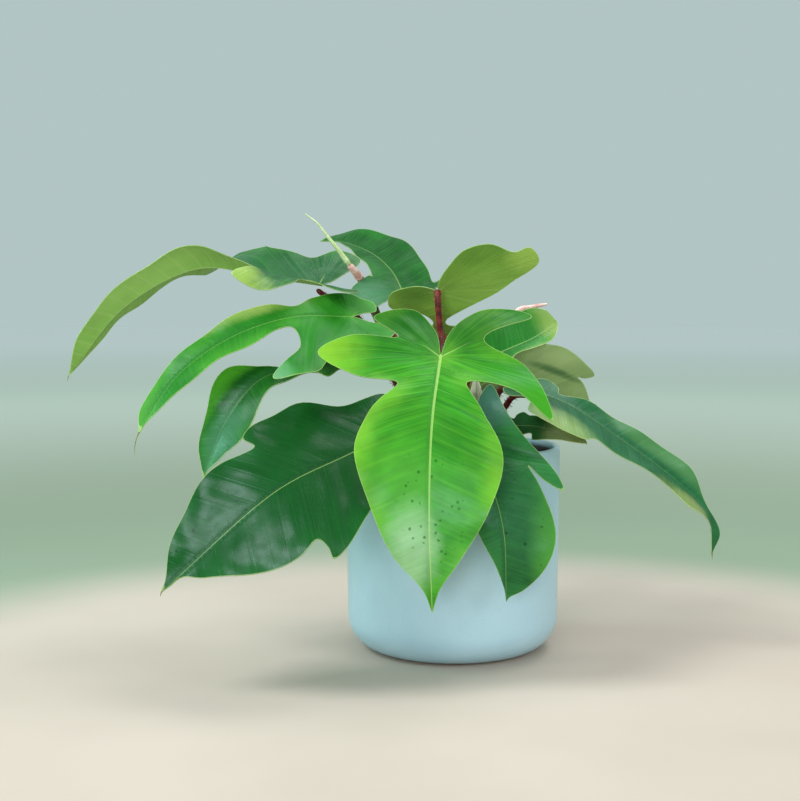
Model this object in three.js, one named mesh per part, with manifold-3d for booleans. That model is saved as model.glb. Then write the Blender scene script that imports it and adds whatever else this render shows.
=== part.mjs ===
// A potted Philodendron squamiferum: twelve lobed blades on dark red bristly stalks, two climbing stems,
// a new leaf that is still rolled up, three sheaths, the soil and the round glazed pot.
// Millimetres, +Z up. The origin is the middle of the pot's foot, and -Y is the front of the plant.

import * as THREE from 'three';
import { mergeVertices } from 'three/addons/utils/BufferGeometryUtils.js';
import Module from 'manifold-3d';

const wasm = await Module();
wasm.setup();

// Pot: outer radius at the rim, height, and the rounding between wall and foot
const POT_RADIUS = 70;
const POT_LOWER_RADIUS = 68.9;
const POT_HEIGHT = 133.4;
const FOOT_ROUNDING = 22;
const WALL = 4;
const FLOOR = 6;
const RIM_ROUNDING = 1.8;
const POT_SIDES = 48;
const INNER_ROUNDING = FOOT_ROUNDING - WALL;

// Soil: its edge lies below the rim, and its middle is a little higher
const SOIL_EDGE_Z = 117;
const SOIL_MIDDLE_Z = 121;
const GAP = 0.3;

// Holes for the stalks and stems: how deep their bottom and how high their cut reaches, from the soil's top
const HOLE_DEPTH = 16;
const HOLE_ABOVE = 12;
const HOLE_ROOM = 0.6;
const HOLE_SIDES = 8;
const FOOT_CLEARANCE = 2;

// Blade
const HALF_THICKNESS = 0.4;
const RIB_DEPTH = 1.3;

// Mesh of a blade: sides per outline point and along the midrib, and the longest side of an inner triangle
const OUTLINE_STEPS = 3;
const RIB_STEPS = 14;
const LONGEST_SIDE = 12;
const MIDRIB_CLEARANCE = 0.2;

// Where along the blade the three values of fold and curl hold, as fractions of its length
const STATIONS = [-0.1, 0.25, 1];

// Stalk
const STALK_FOOT_RADIUS = 2.6;
const STALK_RADIUS = 1.9;
const STALK_SIDES = 7;
const STALK_STEP = 9;
const CLIMBER_SIDES = 7;
const CLIMBER_STEP = 9;
const BRISTLES_PER_MM = 0.2;
const BRISTLE_LENGTH = 3;
const BRISTLE_RADIUS = 0.5;

// Each bristle: its middle above the stalk's skin, its lean to the blade, and the turn from one to the next
const BRISTLE_MIDDLE = 0.1;
const BRISTLE_LEAN = 0.5;
const BRISTLE_TURN = 2.4;

// Bare lengths of the stalk: above its foot and below the blade
const BARE_FOOT = 19;
const BARE_NECK = 9;

// The stalk's end under the blade: below its middle and past the joint, and the bend before it
const JOINT_DEPTH = 4.2;
const JOINT_ADVANCE = 3;
const BEND_BACK = 9;
const BEND_DOWN = 5;

// Each blade: rib is its midrib from the stalk to the tip, and up its upper side's direction along it.
// fold and curl, for the left and the right half, are in degrees and in degrees per 100 mm sideways, at the
// three stations. left and right are the outline of each half, as distances from the midrib and along it:
// the basal lobe in three points, the first gap, the side lobe in three, the second gap, and the long end
// lobe in five. stalk is the stalk's way from the soil to near the blade.
const LEAVES = [
  {
    name: 'front', colour: '#3fa51f',
    rib: [[-10, -70, 195], [-16, -104, 157], [-18, -122, 106], [-16, -118, 48]],
    up: [[0, -0.75, 0.65], [0, -1, 0.25], [0, -1, 0.05]],
    fold: [[8, 6, 10], [8, 6, 10]], curl: [[-20, -16, -12], [-20, -16, -12]],
    left: [[4, -18], [22, -38], [53, -36], [25, -13], [53, 5], [70, 41], [46, 24], [18, 21],
      [29, 41], [42, 72], [35, 102], [19, 130], [5, 150]],
    right: [[5, -18], [19, -32], [44, -24], [27, -9], [55, -7], [74, 8], [47, 25], [23, 27],
      [37, 48], [44, 70], [34, 101], [21, 129], [5, 150]],
    stalk: [[-3, -12, 119], [-7, -16, 160], [-9, -30, 205]],
  },
  {
    name: 'front_left', colour: '#1c5a22',
    rib: [[-42, -60, 145], [-67, -78, 135], [-107, -104, 117], [-171, -126, 62]],
    up: [[-0.1, -0.68, 0.7], [-0.2, -0.7, 0.65], [-0.3, -0.75, 0.6]],
    fold: [[4, 4, 6], [4, 4, 6]], curl: [[-14, -12, -10], [-14, -12, -10]],
    left: [[4, -6], [12, -14], [22, -10], [24, 12], [52, 58], [64, 88], [55, 86], [47, 87],
      [49, 100], [36, 127], [14, 147], [2, 157], [1, 165]],
    right: [[4, -6], [19, -21], [31, -23], [34, -9], [38, 5], [55, 35], [47, 75], [36, 74],
      [41, 95], [36, 119], [20, 148], [11, 158], [4, 165]],
    stalk: [[-16, -22, 118], [-22, -30, 142], [-32, -48, 152]],
  },
  {
    name: 'front_right', colour: '#22602c',
    rib: [[10, -58, 148], [20, -80, 119], [27, -90, 91], [29, -88, 48]],
    up: [[0.1, -0.8, 0.5], [0.1, -1, 0.1]],
    fold: [[4, 4, 6], [4, 4, 6]], curl: [[-14, -12, -10], [-14, -12, -10]],
    left: [[3, -6], [10, -21], [21, -30], [26, 2], [36, 29], [41, 53], [31, 45], [25, 33],
      [28, 49], [31, 73], [22, 94], [11, 105], [2, 109]],
    right: [[3, -6], [8, -14], [14, -14], [10, 0], [18, 6], [22, 14], [16, 22], [10, 28],
      [14, 36], [20, 46], [15, 69], [6, 90], [1, 104]],
    stalk: [[8, -26, 118], [9, -32, 138], [10, -42, 148]],
  },
  {
    name: 'left_drooping', colour: '#20642a',
    rib: [[-63, -8, 192], [-91, -24, 185], [-121, -38, 179], [-142, -50, 154], [-156, -56, 118]],
    up: [[0, -0.6, 0.8], [-0.2, -0.7, 0.6], [-0.6, -0.75, 0.2]],
    fold: [[6, 6, 8], [6, 6, 8]], curl: [[-10, -10, -10], [-10, -10, -10]],
    left: [[5, -8], [16, -16], [24, -12], [14, 2], [9, 16], [15, 29], [8, 33], [5, 37],
      [10, 56], [16, 86], [21, 110], [10, 124], [1, 137]],
    right: [[5, -8], [14, -16], [22, -14], [16, 0], [24, 4], [26, 14], [16, 24], [2, 43],
      [9, 62], [23, 76], [16, 103], [11, 123], [5, 134]],
    stalk: [[-20, -2, 118], [-28, -2, 150], [-44, -4, 184]],
  },
  {
    name: 'left_arching', colour: '#2f8a24',
    rib: [[-65, -4, 217], [-103, -18, 217], [-140, -32, 205], [-173, -44, 181], [-196, -54, 146]],
    up: [[0, -0.6, 0.75], [0, -0.55, 0.8], [-0.5, -0.6, 0.6]],
    fold: [[4, 4, 6], [6, 8, 8]], curl: [[-14, -10, -10], [4, 4, 0]],
    left: [[5, -8], [16, -24], [30, -10], [28, 8], [58, 45], [52, 79], [33, 48], [10, 45],
      [15, 67], [15, 85], [14, 113], [10, 141], [1, 160]],
    right: [[3, -8], [5, -17], [13, -17], [16, -9], [20, -3], [22, 10], [17, 24], [9, 37],
      [16, 52], [15, 79], [11, 125], [10, 145], [8, 157]],
    stalk: [[-12, 6, 119], [-18, 8, 160], [-40, 2, 205]],
  },
  {
    name: 'left_upper', colour: '#6f9f3a',
    rib: [[-86, 16, 238], [-121, 10, 243], [-165, 4, 249], [-213, -4, 224], [-249, -10, 179]],
    up: [[0, -0.35, 0.94], [0, -0.25, 0.95], [0, 0.4, 0.92], [-0.3, 0.45, 0.8], [-0.5, 0.5, 0.7],
      [-0.6, 0.5, 0.5]],
    fold: [[16, 40, 14], [16, 14, 14]], curl: [[0, -200, 0], [0, 0, 0]],
    left: [[5, -8], [20, -22], [32, -16], [12, 14], [28, 22], [52, 60], [34, 52], [12, 40],
      [13, 62], [21, 82], [17, 112], [15, 143], [10, 175]],
    right: [[4, -6], [35, -27], [42, -11], [31, 7], [34, 17], [42, 35], [55, 51], [66, 60],
      [12, 90], [15, 110], [14, 135], [10, 155], [4, 180]],
    stalk: [[-24, 14, 119], [-34, 20, 165], [-62, 22, 215]],
  },
  {
    name: 'top_centre', colour: '#2c7f2e',
    rib: [[-33, 32, 234], [-40, 52, 247], [-54, 80, 260], [-75, 110, 269], [-94, 132, 271]],
    up: [[0.1, -0.7, 0.7], [0.2, -0.7, 0.7]],
    fold: [[6, 6, 8], [6, 6, 8]], curl: [[-10, -8, -8], [-10, -8, -8]],
    left: [[6, -6], [23, -17], [33, -22], [38, -5], [34, 5], [22, 19], [16, 23], [16, 20],
      [14, 37], [12, 59], [7, 84], [1, 106], [1, 118]],
    right: [[4, -6], [12, -10], [24, -10], [22, -4], [32, -4], [40, 2], [34, 8], [23, 2],
      [23, 16], [26, 48], [25, 70], [20, 95], [10, 118]],
    stalk: [[-14, 16, 119], [-24, 18, 165], [-33, 24, 205]],
  },
  {
    name: 'top_right', colour: '#8aa857',
    rib: [[-10, 6, 234], [-8, 26, 211], [-2, 66, 191], [0, 96, 162], [0, 104, 118]],
    up: [[0, 0.8, 0.6], [0, 0.7, 0.7], [0, 0.9, 0.5], [0, 1, 0.2]],
    fold: [[6, 6, 6], [6, 6, 6]], curl: [[0, 0, -8], [0, 0, -8]],
    left: [[10, -3], [20, -2], [30, 2], [33, 8], [33, 14], [30, 17], [19, 17], [4, 28],
      [22, 50], [30, 80], [26, 115], [16, 138], [5, 156]],
    right: [[1, -7], [17, -30], [35, -33], [51, -25], [61, -27], [67, -15], [45, 4], [4, 28],
      [24, 50], [33, 80], [28, 115], [18, 138], [6, 156]],
    stalk: [[4, 2, 121], [2, -2, 165], [-8, -4, 205]],
  },
  {
    name: 'right_upper', colour: '#2f7a2c',
    rib: [[16, -22, 188], [31, -16, 195], [51, -6, 203], [69, 8, 213]],
    up: [[0, -0.8, 0.6], [0.3, -0.7, 0.7]],
    fold: [[4, 4, 6], [4, 4, 6]], curl: [[-8, -8, -8], [-8, -8, -8]],
    left: [[4, -4], [12, -12], [20, -10], [14, 0], [22, 2], [28, 10], [27, 21], [19, 28],
      [21, 39], [20, 48], [17, 59], [11, 66], [5, 68]],
    right: [[3, -4], [8, -8], [14, -6], [8, 2], [12, 6], [16, 12], [10, 18], [7, 22],
      [6, 27], [7, 36], [8, 46], [8, 53], [4, 62]],
    stalk: [[10, -8, 120], [10, -10, 150], [8, -16, 172]],
  },
  {
    name: 'right_pale', colour: '#8aa257',
    rib: [[40, 18, 177], [63, 40, 169], [86, 68, 157], [100, 104, 137]],
    up: [[0, 0.8, 0.6], [0.3, 0.8, 0.5]],
    fold: [[0, 0, 8], [0, 0, 8]], curl: [[0, 0, 0], [0, 0, 0]],
    left: [[3, -8], [12, -16], [22, -14], [26, -4], [12, 6], [16, 14], [12, 24], [8, 30],
      [10, 44], [14, 60], [12, 78], [8, 90], [3, 104]],
    right: [[3, -6], [19, -24], [26, -22], [31, -15], [37, 6], [27, 56], [21, 53], [20, 47],
      [17, 57], [11, 80], [14, 84], [9, 94], [3, 104]],
    stalk: [[18, 4, 119], [22, 4, 150], [30, -4, 168]],
  },
  {
    name: 'right_arching', colour: '#1f6434',
    rib: [[47, -22, 172], [74, -26, 161], [104, -30, 141], [138, -34, 116], [160, -38, 93], [162, -42, 68]],
    up: [[0, -0.4, 0.9], [0.2, -0.5, 0.85], [0.5, -0.6, 0.6], [0.8, -0.5, 0.3]],
    fold: [[8, 8, 8], [8, 8, 8]], curl: [[0, 0, 0], [0, 0, 0]],
    left: [[3, -4], [9, -10], [15, -8], [10, 2], [14, 5], [16, 11], [12, 18], [6, 20],
      [12, 39], [15, 73], [17, 112], [3, 137], [8, 153]],
    right: [[5, -6], [14, -14], [22, -10], [14, 4], [37, 7], [37, 26], [33, 47], [24, 53],
      [21, 61], [17, 86], [12, 110], [17, 128], [1, 149]],
    stalk: [[20, -8, 118], [26, -8, 145], [34, -12, 160]],
  },
  {
    name: 'rim_right', colour: '#1d4a26',
    rib: [[37, -24, 148], [51, -28, 148], [68, -34, 144], [83, -40, 138]],
    up: [[0, -0.6, 0.8], [0.2, -0.6, 0.8]],
    fold: [[8, 8, 8], [8, 8, 8]], curl: [[0, 0, 0], [0, 0, 0]],
    left: [[2, -3], [6, -8], [10, -6], [6, 0], [10, 2], [12, 6], [9, 10], [9, 12],
      [8, 17], [5, 25], [7, 37], [6, 42], [3, 47]],
    right: [[2, -3], [6, -8], [10, -6], [6, 0], [10, 2], [12, 6], [9, 10], [8, 14],
      [14, 17], [11, 26], [8, 35], [6, 41], [3, 46]],
    stalk: [[24, -22, 117], [27, -23, 130], [30, -22, 140]],
  },
];

// The cream dry sheath in the middle, a narrow scale rolled lengthwise
const CREAM_SHEATH = {
  rib: [[15, -15, 112], [15, -17, 125], [14, -27, 155], [13, -34, 180]],
  up: [[0, -1, 0.2]],
  fold: [[25, 25, 25], [25, 25, 25]], curl: [[300, 300, 300], [300, 300, 300]],
  width: 8, footRadius: 4.4,
};

// Two climbing stems: hand-set points of the whole way, the radius at its pieces' ends, and what it
// consists of from the soil upwards, each piece ending at a fraction of the way
const CLIMBERS = [
  {
    way: [[-22, 30, 118], [-28, 34, 150], [-35, 38, 185], [-50, 43, 216], [-61, 43, 241],
      [-67, 31, 249], [-75, 27, 260], [-83, 25, 270], [-90, 23, 279], [-98, 22, 285]],
    pieces: [
      { name: 'stem_left', to: 0.7, radii: [4, 3], colour: '#55652f', roughness: 0.7 },
      { name: 'sheath_left', to: 0.78, radii: [3, 2.1], colour: '#e0a59c', roughness: 0.5 },
      { name: 'new_leaf', to: 1, radii: [1.9, 0.4], colour: '#b9c98b', roughness: 0.4 },
    ],
  },
  {
    way: [[24, 26, 118], [30, 34, 160], [37, 32, 198], [44, 24, 220], [53, 20, 223], [63, 18, 225]],
    pieces: [
      { name: 'stem_right', to: 0.83, radii: [4, 2.4], colour: '#55652f', roughness: 0.7 },
      { name: 'sheath_right', to: 1, radii: [2.2, 1], colour: '#e0a59c', roughness: 0.5 },
    ],
  },
];

function vector(values) {
  return new THREE.Vector3(...values);
}

// A repeatable stream of numbers between 0 and 1
function seededRandom(seed) {
  let state = seed;
  return () => {
    state = (state * 1664525 + 1013904223) % 4294967296;
    return state / 4294967296;
  };
}

function solidFrom(geometry) {
  const bare = geometry.clone();
  bare.deleteAttribute('normal');
  bare.deleteAttribute('uv');
  const merged = mergeVertices(bare, 1e-4);
  return new wasm.Manifold(new wasm.Mesh({
    numProp: 3,
    vertProperties: new Float32Array(merged.attributes.position.array),
    triVerts: new Uint32Array(merged.index.array),
  }));
}

function largest(solid) {
  return solid.decompose().reduce((best, part) => (part.volume() > best.volume() ? part : best));
}

function geometryFrom(solid) {
  const mesh = solid.getMesh();
  const geometry = new THREE.BufferGeometry();
  geometry.setAttribute('position', new THREE.BufferAttribute(mesh.vertProperties, 3));
  geometry.setIndex(new THREE.BufferAttribute(mesh.triVerts, 1));
  return geometry;
}

// A value given at the three stations, eased between them
function alongBlade(values, fraction) {
  let value = values[0];
  for (let i = 0; i < STATIONS.length - 1; i++) {
    const t = THREE.MathUtils.smoothstep(fraction, STATIONS[i], STATIONS[i + 1]);
    if (fraction > STATIONS[i]) value = values[i] + (values[i + 1] - values[i]) * t;
  }
  return value;
}

// The curved surface that a blade's flat outline is laid on
class BladeSurface {
  constructor(leaf) {
    this.leaf = leaf;
    this.rib = new THREE.CatmullRomCurve3(leaf.rib.map(vector));
    this.rib.arcLengthDivisions = 240;
    this.length = this.rib.getLength();
  }

  // Place, direction to the tip, upper side and right side at a distance along the midrib
  frame(distance) {
    const fraction = THREE.MathUtils.clamp(distance / this.length, 0, 1);
    const place = this.rib.getPointAt(fraction);
    const forward = this.rib.getTangentAt(fraction);
    const step = fraction * (this.leaf.up.length - 1);
    const first = Math.max(Math.min(Math.floor(step), this.leaf.up.length - 2), 0);
    const next = Math.min(first + 1, this.leaf.up.length - 1);
    const up = vector(this.leaf.up[first]).lerp(vector(this.leaf.up[next]), step - first);
    up.addScaledVector(forward, -up.dot(forward)).normalize();
    const side = new THREE.Vector3().crossVectors(forward, up);
    place.addScaledVector(forward, Math.min(distance, 0));
    return { place, forward, up, side };
  }

  // The point at a distance sideways (to the left below zero) and a distance along the midrib
  point(across, along) {
    const { place, up, side } = this.frame(along);
    const half = across < 0 ? 0 : 1;
    const fraction = along / this.length;
    const fold = THREE.MathUtils.degToRad(alongBlade(this.leaf.fold[half], fraction));
    const bend = THREE.MathUtils.degToRad(alongBlade(this.leaf.curl[half], fraction)) / 100;
    const curl = Math.abs(bend) < 1e-6 ? 1e-6 : bend;
    const outer = fold + curl * Math.abs(across);
    const sideways = (Math.sin(outer) - Math.sin(fold)) / curl;
    const rise = (Math.cos(fold) - Math.cos(outer)) / curl;
    return place.addScaledVector(side, Math.sign(across) * sideways).addScaledVector(up, rise);
  }
}

// One half of a blade laid flat, as the distances across and along: its margin, then the midrib backwards
function flatHalf(points, length) {
  const corners = [[0, 0], ...points, [0, length]];
  const curve = new THREE.CatmullRomCurve3(corners.map(([across, along]) => vector([across, along, 0])));
  const steps = (corners.length - 1) * OUTLINE_STEPS;
  const contour = [new THREE.Vector2(0, 0)];
  for (let i = 1; i < steps; i++) {
    const { x, y } = curve.getPoint(i / steps);
    contour.push(new THREE.Vector2(Math.max(x, MIDRIB_CLEARANCE), y));
  }
  for (let i = RIB_STEPS; i > 0; i--) contour.push(new THREE.Vector2(0, length * i / RIB_STEPS));
  return contour;
}

// The angle at a corner that looks at the side between two other points
function angleAt(corner, one, other) {
  const [toOne, toOther] = [one.clone().sub(corner), other.clone().sub(corner)];
  return Math.abs(Math.atan2(toOne.cross(toOther), toOne.dot(toOther)));
}

// Turns the shared side of two triangles over, wherever that makes them rounder
function relax(points, triangles) {
  const owners = new Map();
  const name = (from, to) => `${from},${to}`;
  const enter = (index) => triangles[index].forEach((from, i, corners) => {
    owners.set(name(from, corners[(i + 1) % 3]), index);
  });
  triangles.forEach((_, index) => enter(index));
  const queue = [...owners.keys()];
  while (queue.length) {
    const [a, b] = queue.pop().split(',').map(Number);
    const [one, other] = [owners.get(name(a, b)), owners.get(name(b, a))];
    if (one === undefined || other === undefined) continue;
    const [c] = triangles[one].filter((corner) => corner !== a && corner !== b);
    const [d] = triangles[other].filter((corner) => corner !== a && corner !== b);
    const across = angleAt(points[c], points[a], points[b]) + angleAt(points[d], points[a], points[b]);
    if (across < Math.PI + 1e-6) continue;
    owners.delete(name(a, b));
    owners.delete(name(b, a));
    triangles[one] = [c, a, d];
    triangles[other] = [d, b, c];
    enter(one);
    enter(other);
    queue.push(name(c, a), name(a, d), name(d, b), name(b, c));
  }
}

// Divides a flat contour into round triangles: the longest side is halved until all are short
function meshFlat(points) {
  let triangles = THREE.ShapeUtils.triangulateShape(points, []);
  relax(points, triangles);
  for (;;) {
    let longest = [LONGEST_SIDE];
    for (const [a, b, c] of triangles) {
      for (const [from, to] of [[a, b], [b, c], [c, a]]) {
        const side = points[from].distanceTo(points[to]);
        if (side > longest[0]) longest = [side, from, to];
      }
    }
    const [, from, to] = longest;
    if (from === undefined) return triangles;
    const middle = points.push(points[from].clone().lerp(points[to], 0.5)) - 1;
    triangles = triangles.flatMap((corners) => {
      if (!corners.includes(from) || !corners.includes(to)) return [corners];
      return [from, to].map((left) => corners.map((corner) => (corner === left ? middle : corner)));
    });
    relax(points, triangles);
  }
}

function blade(leaf) {
  const surface = new BladeSurface(leaf);
  const middle = [];
  const ribDepths = [];
  const ribVertices = new Map();

  function vertex(sign, { x: across, y: along }) {
    if (across === 0 && ribVertices.has(along)) return ribVertices.get(along);
    middle.push(surface.point(sign * across, along));
    ribDepths.push(across === 0 ? RIB_DEPTH * (1 - along / surface.length) : 0);
    if (across === 0) ribVertices.set(along, middle.length - 1);
    return middle.length - 1;
  }

  const triangles = [-1, 1].flatMap((sign) => {
    const points = flatHalf(sign < 0 ? leaf.left : leaf.right, surface.length);
    const flat = meshFlat(points);
    const places = points.map((point) => vertex(sign, point));
    return flat.map((corners) => {
      const [a, b, c] = corners.map((corner) => places[corner]);
      return sign > 0 ? [a, b, c] : [a, c, b];
    });
  });
  return thicken(middle, triangles, ribDepths);
}

// A closed sheet round a surface, with the same triangles on both faces and a ridge under the midrib
function thicken(middle, triangles, ribDepths) {
  const normals = middle.map(() => new THREE.Vector3());
  for (const [a, b, c] of triangles) {
    const normal = middle[b].clone().sub(middle[a]).cross(middle[c].clone().sub(middle[a]));
    for (const corner of [a, b, c]) normals[corner].add(normal);
  }
  normals.forEach((normal) => normal.normalize());
  const top = middle.map((place, i) => place.clone().addScaledVector(normals[i], HALF_THICKNESS));
  const under = middle.map((place, i) => (
    place.clone().addScaledVector(normals[i], -HALF_THICKNESS - ribDepths[i])));
  const count = middle.length;
  const faces = [];
  const edges = new Set(triangles.flatMap(([a, b, c]) => [`${a},${b}`, `${b},${c}`, `${c},${a}`]));
  for (const [a, b, c] of triangles) faces.push([a, b, c], [a + count, c + count, b + count]);
  for (const edge of edges) {
    const [a, b] = edge.split(',').map(Number);
    if (!edges.has(`${b},${a}`)) faces.push([b, a, a + count], [b, a + count, b + count]);
  }
  const geometry = new THREE.BufferGeometry();
  geometry.setFromPoints([...top, ...under]);
  geometry.setIndex(faces.flat());
  return geometry;
}

// The lower end of a stalk or stem, which stands in its hole just clear of the bottom
function footOf(base) {
  return base.clone().setZ(base.z - HOLE_DEPTH + FOOT_CLEARANCE);
}

// The stalk's way: from below the soil along its hand-set points to just under the blade's joint
function stalkPath(leaf) {
  const { place, forward, up } = new BladeSurface(leaf).frame(0);
  const end = place.clone().addScaledVector(forward, JOINT_ADVANCE).addScaledVector(up, -JOINT_DEPTH);
  const approach = end.clone().addScaledVector(forward, -BEND_BACK)
    .addScaledVector(up, -BEND_DOWN);
  const [base, ...way] = leaf.stalk.map(vector);
  const foot = footOf(base);
  return new THREE.CatmullRomCurve3([foot, base.clone().setZ(base.z + 3), ...way, approach, end]);
}

// A closed round tube along a path, whose radius goes evenly from one end to the other
function tube(path, startRadius, endRadius, sides, step) {
  const steps = Math.ceil(path.getLength() / step);
  const frames = path.computeFrenetFrames(steps);
  const points = [path.getPointAt(0)];
  const faces = [];
  for (let ring = 0; ring <= steps; ring++) {
    const centre = path.getPointAt(ring / steps);
    const radius = THREE.MathUtils.lerp(startRadius, endRadius, ring / steps);
    for (let side = 0; side < sides; side++) {
      const angle = 2 * Math.PI * side / sides;
      points.push(centre.clone().addScaledVector(frames.normals[ring], radius * Math.cos(angle))
        .addScaledVector(frames.binormals[ring], radius * Math.sin(angle)));
    }
  }
  points.push(path.getPointAt(1));
  const corner = (ring, side) => 1 + ring * sides + side % sides;
  for (let side = 0; side < sides; side++) {
    faces.push([0, corner(0, side + 1), corner(0, side)]);
    faces.push([points.length - 1, corner(steps, side), corner(steps, side + 1)]);
    for (let ring = 0; ring < steps; ring++) {
      const [a, b] = [corner(ring, side), corner(ring, side + 1)];
      const [c, d] = [corner(ring + 1, side + 1), corner(ring + 1, side)];
      faces.push([a, b, c], [a, c, d]);
    }
  }
  const geometry = new THREE.BufferGeometry().setFromPoints(points);
  geometry.setIndex(faces.flat());
  return geometry;
}

// A stalk with its bristles, which stand out in a loose spiral above the soil
function stalk(leaf, seed) {
  const path = stalkPath(leaf);
  const random = seededRandom(seed);
  let solid = solidFrom(tube(path, STALK_FOOT_RADIUS, STALK_RADIUS, STALK_SIDES, STALK_STEP));
  const length = path.getLength();
  const start = BARE_FOOT / length;
  const end = 1 - BARE_NECK / length;
  const count = Math.round((end - start) * length * BRISTLES_PER_MM);
  for (let i = 0; i < count; i++) {
    const fraction = start + (end - start) * (i + random()) / count;
    const forward = path.getTangentAt(fraction);
    const outward = new THREE.Vector3(1, 0, 0).cross(forward).normalize();
    outward.applyAxisAngle(forward, BRISTLE_TURN * i + random());
    const direction = outward.clone().addScaledVector(forward, BRISTLE_LEAN).normalize();
    const cone = new THREE.ConeGeometry(BRISTLE_RADIUS, BRISTLE_LENGTH, 3);
    const turn = new THREE.Quaternion().setFromUnitVectors(new THREE.Vector3(0, 1, 0), direction);
    const radius = THREE.MathUtils.lerp(STALK_FOOT_RADIUS, STALK_RADIUS, fraction);
    const place = path.getPointAt(fraction);
    place.addScaledVector(outward, radius + BRISTLE_MIDDLE);
    cone.applyQuaternion(turn).translate(place.x, place.y, place.z);
    solid = solid.add(solidFrom(cone));
  }
  return geometryFrom(largest(solid));
}

// The stretch of a path between two fractions of its length
class Stretch extends THREE.Curve {
  constructor(path, from, to) {
    super();
    Object.assign(this, { path, from, to });
  }

  getPoint(fraction) {
    return this.path.getPointAt(this.from + (this.to - this.from) * fraction);
  }
}

// A narrow outline that is widest in the middle, with as many points as a blade's
function scaleOutline(width, length) {
  return Array.from({ length: 13 }, (_, i) => {
    const fraction = (i + 1) / 14;
    return [width * Math.sin(Math.PI * fraction) ** 0.8, length * fraction];
  });
}

// A rounded corner of a turned profile: its centre's radius and height, its rounding, and from and to angles
function arc(radius, height, rounding, from, to, steps) {
  return Array.from({ length: steps + 1 }, (_, i) => {
    const angle = THREE.MathUtils.degToRad(from + (to - from) * i / steps);
    return new THREE.Vector2(radius + rounding * Math.cos(angle), height + rounding * Math.sin(angle));
  });
}

function turned(profile) {
  const geometry = new THREE.LatheGeometry(profile, POT_SIDES);
  return geometry.rotateX(Math.PI / 2);
}

function potGeometry() {
  const lower = POT_LOWER_RADIUS - FOOT_ROUNDING;
  const rimTop = POT_HEIGHT - RIM_ROUNDING;
  return turned([
    new THREE.Vector2(0, 0),
    ...arc(lower, FOOT_ROUNDING, FOOT_ROUNDING, -90, 0, 5),
    ...arc(POT_RADIUS - RIM_ROUNDING, rimTop, RIM_ROUNDING, 0, 90, 2),
    ...arc(POT_RADIUS - WALL + RIM_ROUNDING, rimTop, RIM_ROUNDING, 90, 180, 2),
    ...arc(lower, FLOOR + INNER_ROUNDING, INNER_ROUNDING, 0, -90, 4),
    new THREE.Vector2(0, FLOOR),
  ]);
}

// Inner radius of the pot at a height above its rounding
function innerRadius(height) {
  const from = FLOOR + INNER_ROUNDING;
  const to = POT_HEIGHT - RIM_ROUNDING;
  const lower = POT_LOWER_RADIUS - WALL;
  return lower + (POT_RADIUS - WALL - lower) * (height - from) / (to - from);
}

function soilGeometry(holes) {
  const lower = POT_LOWER_RADIUS - FOOT_ROUNDING;
  const middle = (SOIL_EDGE_Z + SOIL_MIDDLE_Z) / 2;
  let solid = solidFrom(turned([
    new THREE.Vector2(0, FLOOR + GAP),
    ...arc(lower, FLOOR + INNER_ROUNDING, INNER_ROUNDING - GAP, -90, 0, 4),
    new THREE.Vector2(innerRadius(SOIL_EDGE_Z) - GAP, SOIL_EDGE_Z),
    new THREE.Vector2(40, middle + 1),
    new THREE.Vector2(0, SOIL_MIDDLE_Z),
  ]));
  for (const { base, radius } of holes) {
    const depth = HOLE_DEPTH + HOLE_ABOVE;
    const wide = radius + HOLE_ROOM;
    const hole = new THREE.CylinderGeometry(wide, wide, depth, HOLE_SIDES).rotateX(Math.PI / 2);
    hole.translate(base.x, base.y, base.z - HOLE_DEPTH + depth / 2);
    solid = solid.subtract(solidFrom(hole));
  }
  return geometryFrom(solid);
}

const group = new THREE.Group();

function piece(name, geometry, colour, roughness) {
  const material = new THREE.MeshStandardMaterial({ color: colour, roughness, metalness: 0 });
  const mesh = new THREE.Mesh(geometry, material);
  mesh.name = name;
  group.add(mesh);
}

piece('pot', potGeometry(), '#a8cdd6', 0.3);

const scaleBase = vector(CREAM_SHEATH.rib[0]);
const holes = [
  ...LEAVES.map(({ stalk: [base] }) => ({ base: vector(base), radius: STALK_FOOT_RADIUS })),
  ...CLIMBERS.map(({ way: [base], pieces: [stem] }) => ({ base: vector(base), radius: stem.radii[0] })),
  { base: scaleBase.setZ(scaleBase.z + HOLE_DEPTH - FOOT_CLEARANCE), radius: CREAM_SHEATH.footRadius },
];
piece('soil', soilGeometry(holes), '#2b2320', 0.95);
LEAVES.forEach((leaf, index) => {
  piece(`leaf_${leaf.name}`, blade(leaf), leaf.colour, 0.35);
  piece(`stalk_${leaf.name}`, stalk(leaf, index + 1), '#4a1518', 0.6);
});

const scaleLength = new BladeSurface(CREAM_SHEATH).length;
const scaleHalf = scaleOutline(CREAM_SHEATH.width, scaleLength);
piece('sheath_cream', blade({ ...CREAM_SHEATH, left: scaleHalf, right: scaleHalf }), '#d9d3a8', 0.6);

for (const { way, pieces } of CLIMBERS) {
  const points = way.map(vector);
  const path = new THREE.CatmullRomCurve3([footOf(points[0]), ...points]);
  const gap = GAP / path.getLength();
  let from = 0;
  for (const { name, to, radii, colour, roughness } of pieces) {
    piece(name, tube(new Stretch(path, from, to), ...radii, CLIMBER_SIDES, CLIMBER_STEP), colour, roughness);
    from = to + gap;
  }
}

export default group;
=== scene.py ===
# A potted Philodendron squamiferum: fine blades, bristly stalks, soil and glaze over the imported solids.
# Lengths are millimetres in the tables and functions, and metres in the finished meshes and on the stage.

import math

import bpy
import numpy as np
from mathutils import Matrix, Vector, noise
from mathutils.geometry import delaunay_2d_cdt


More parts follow.
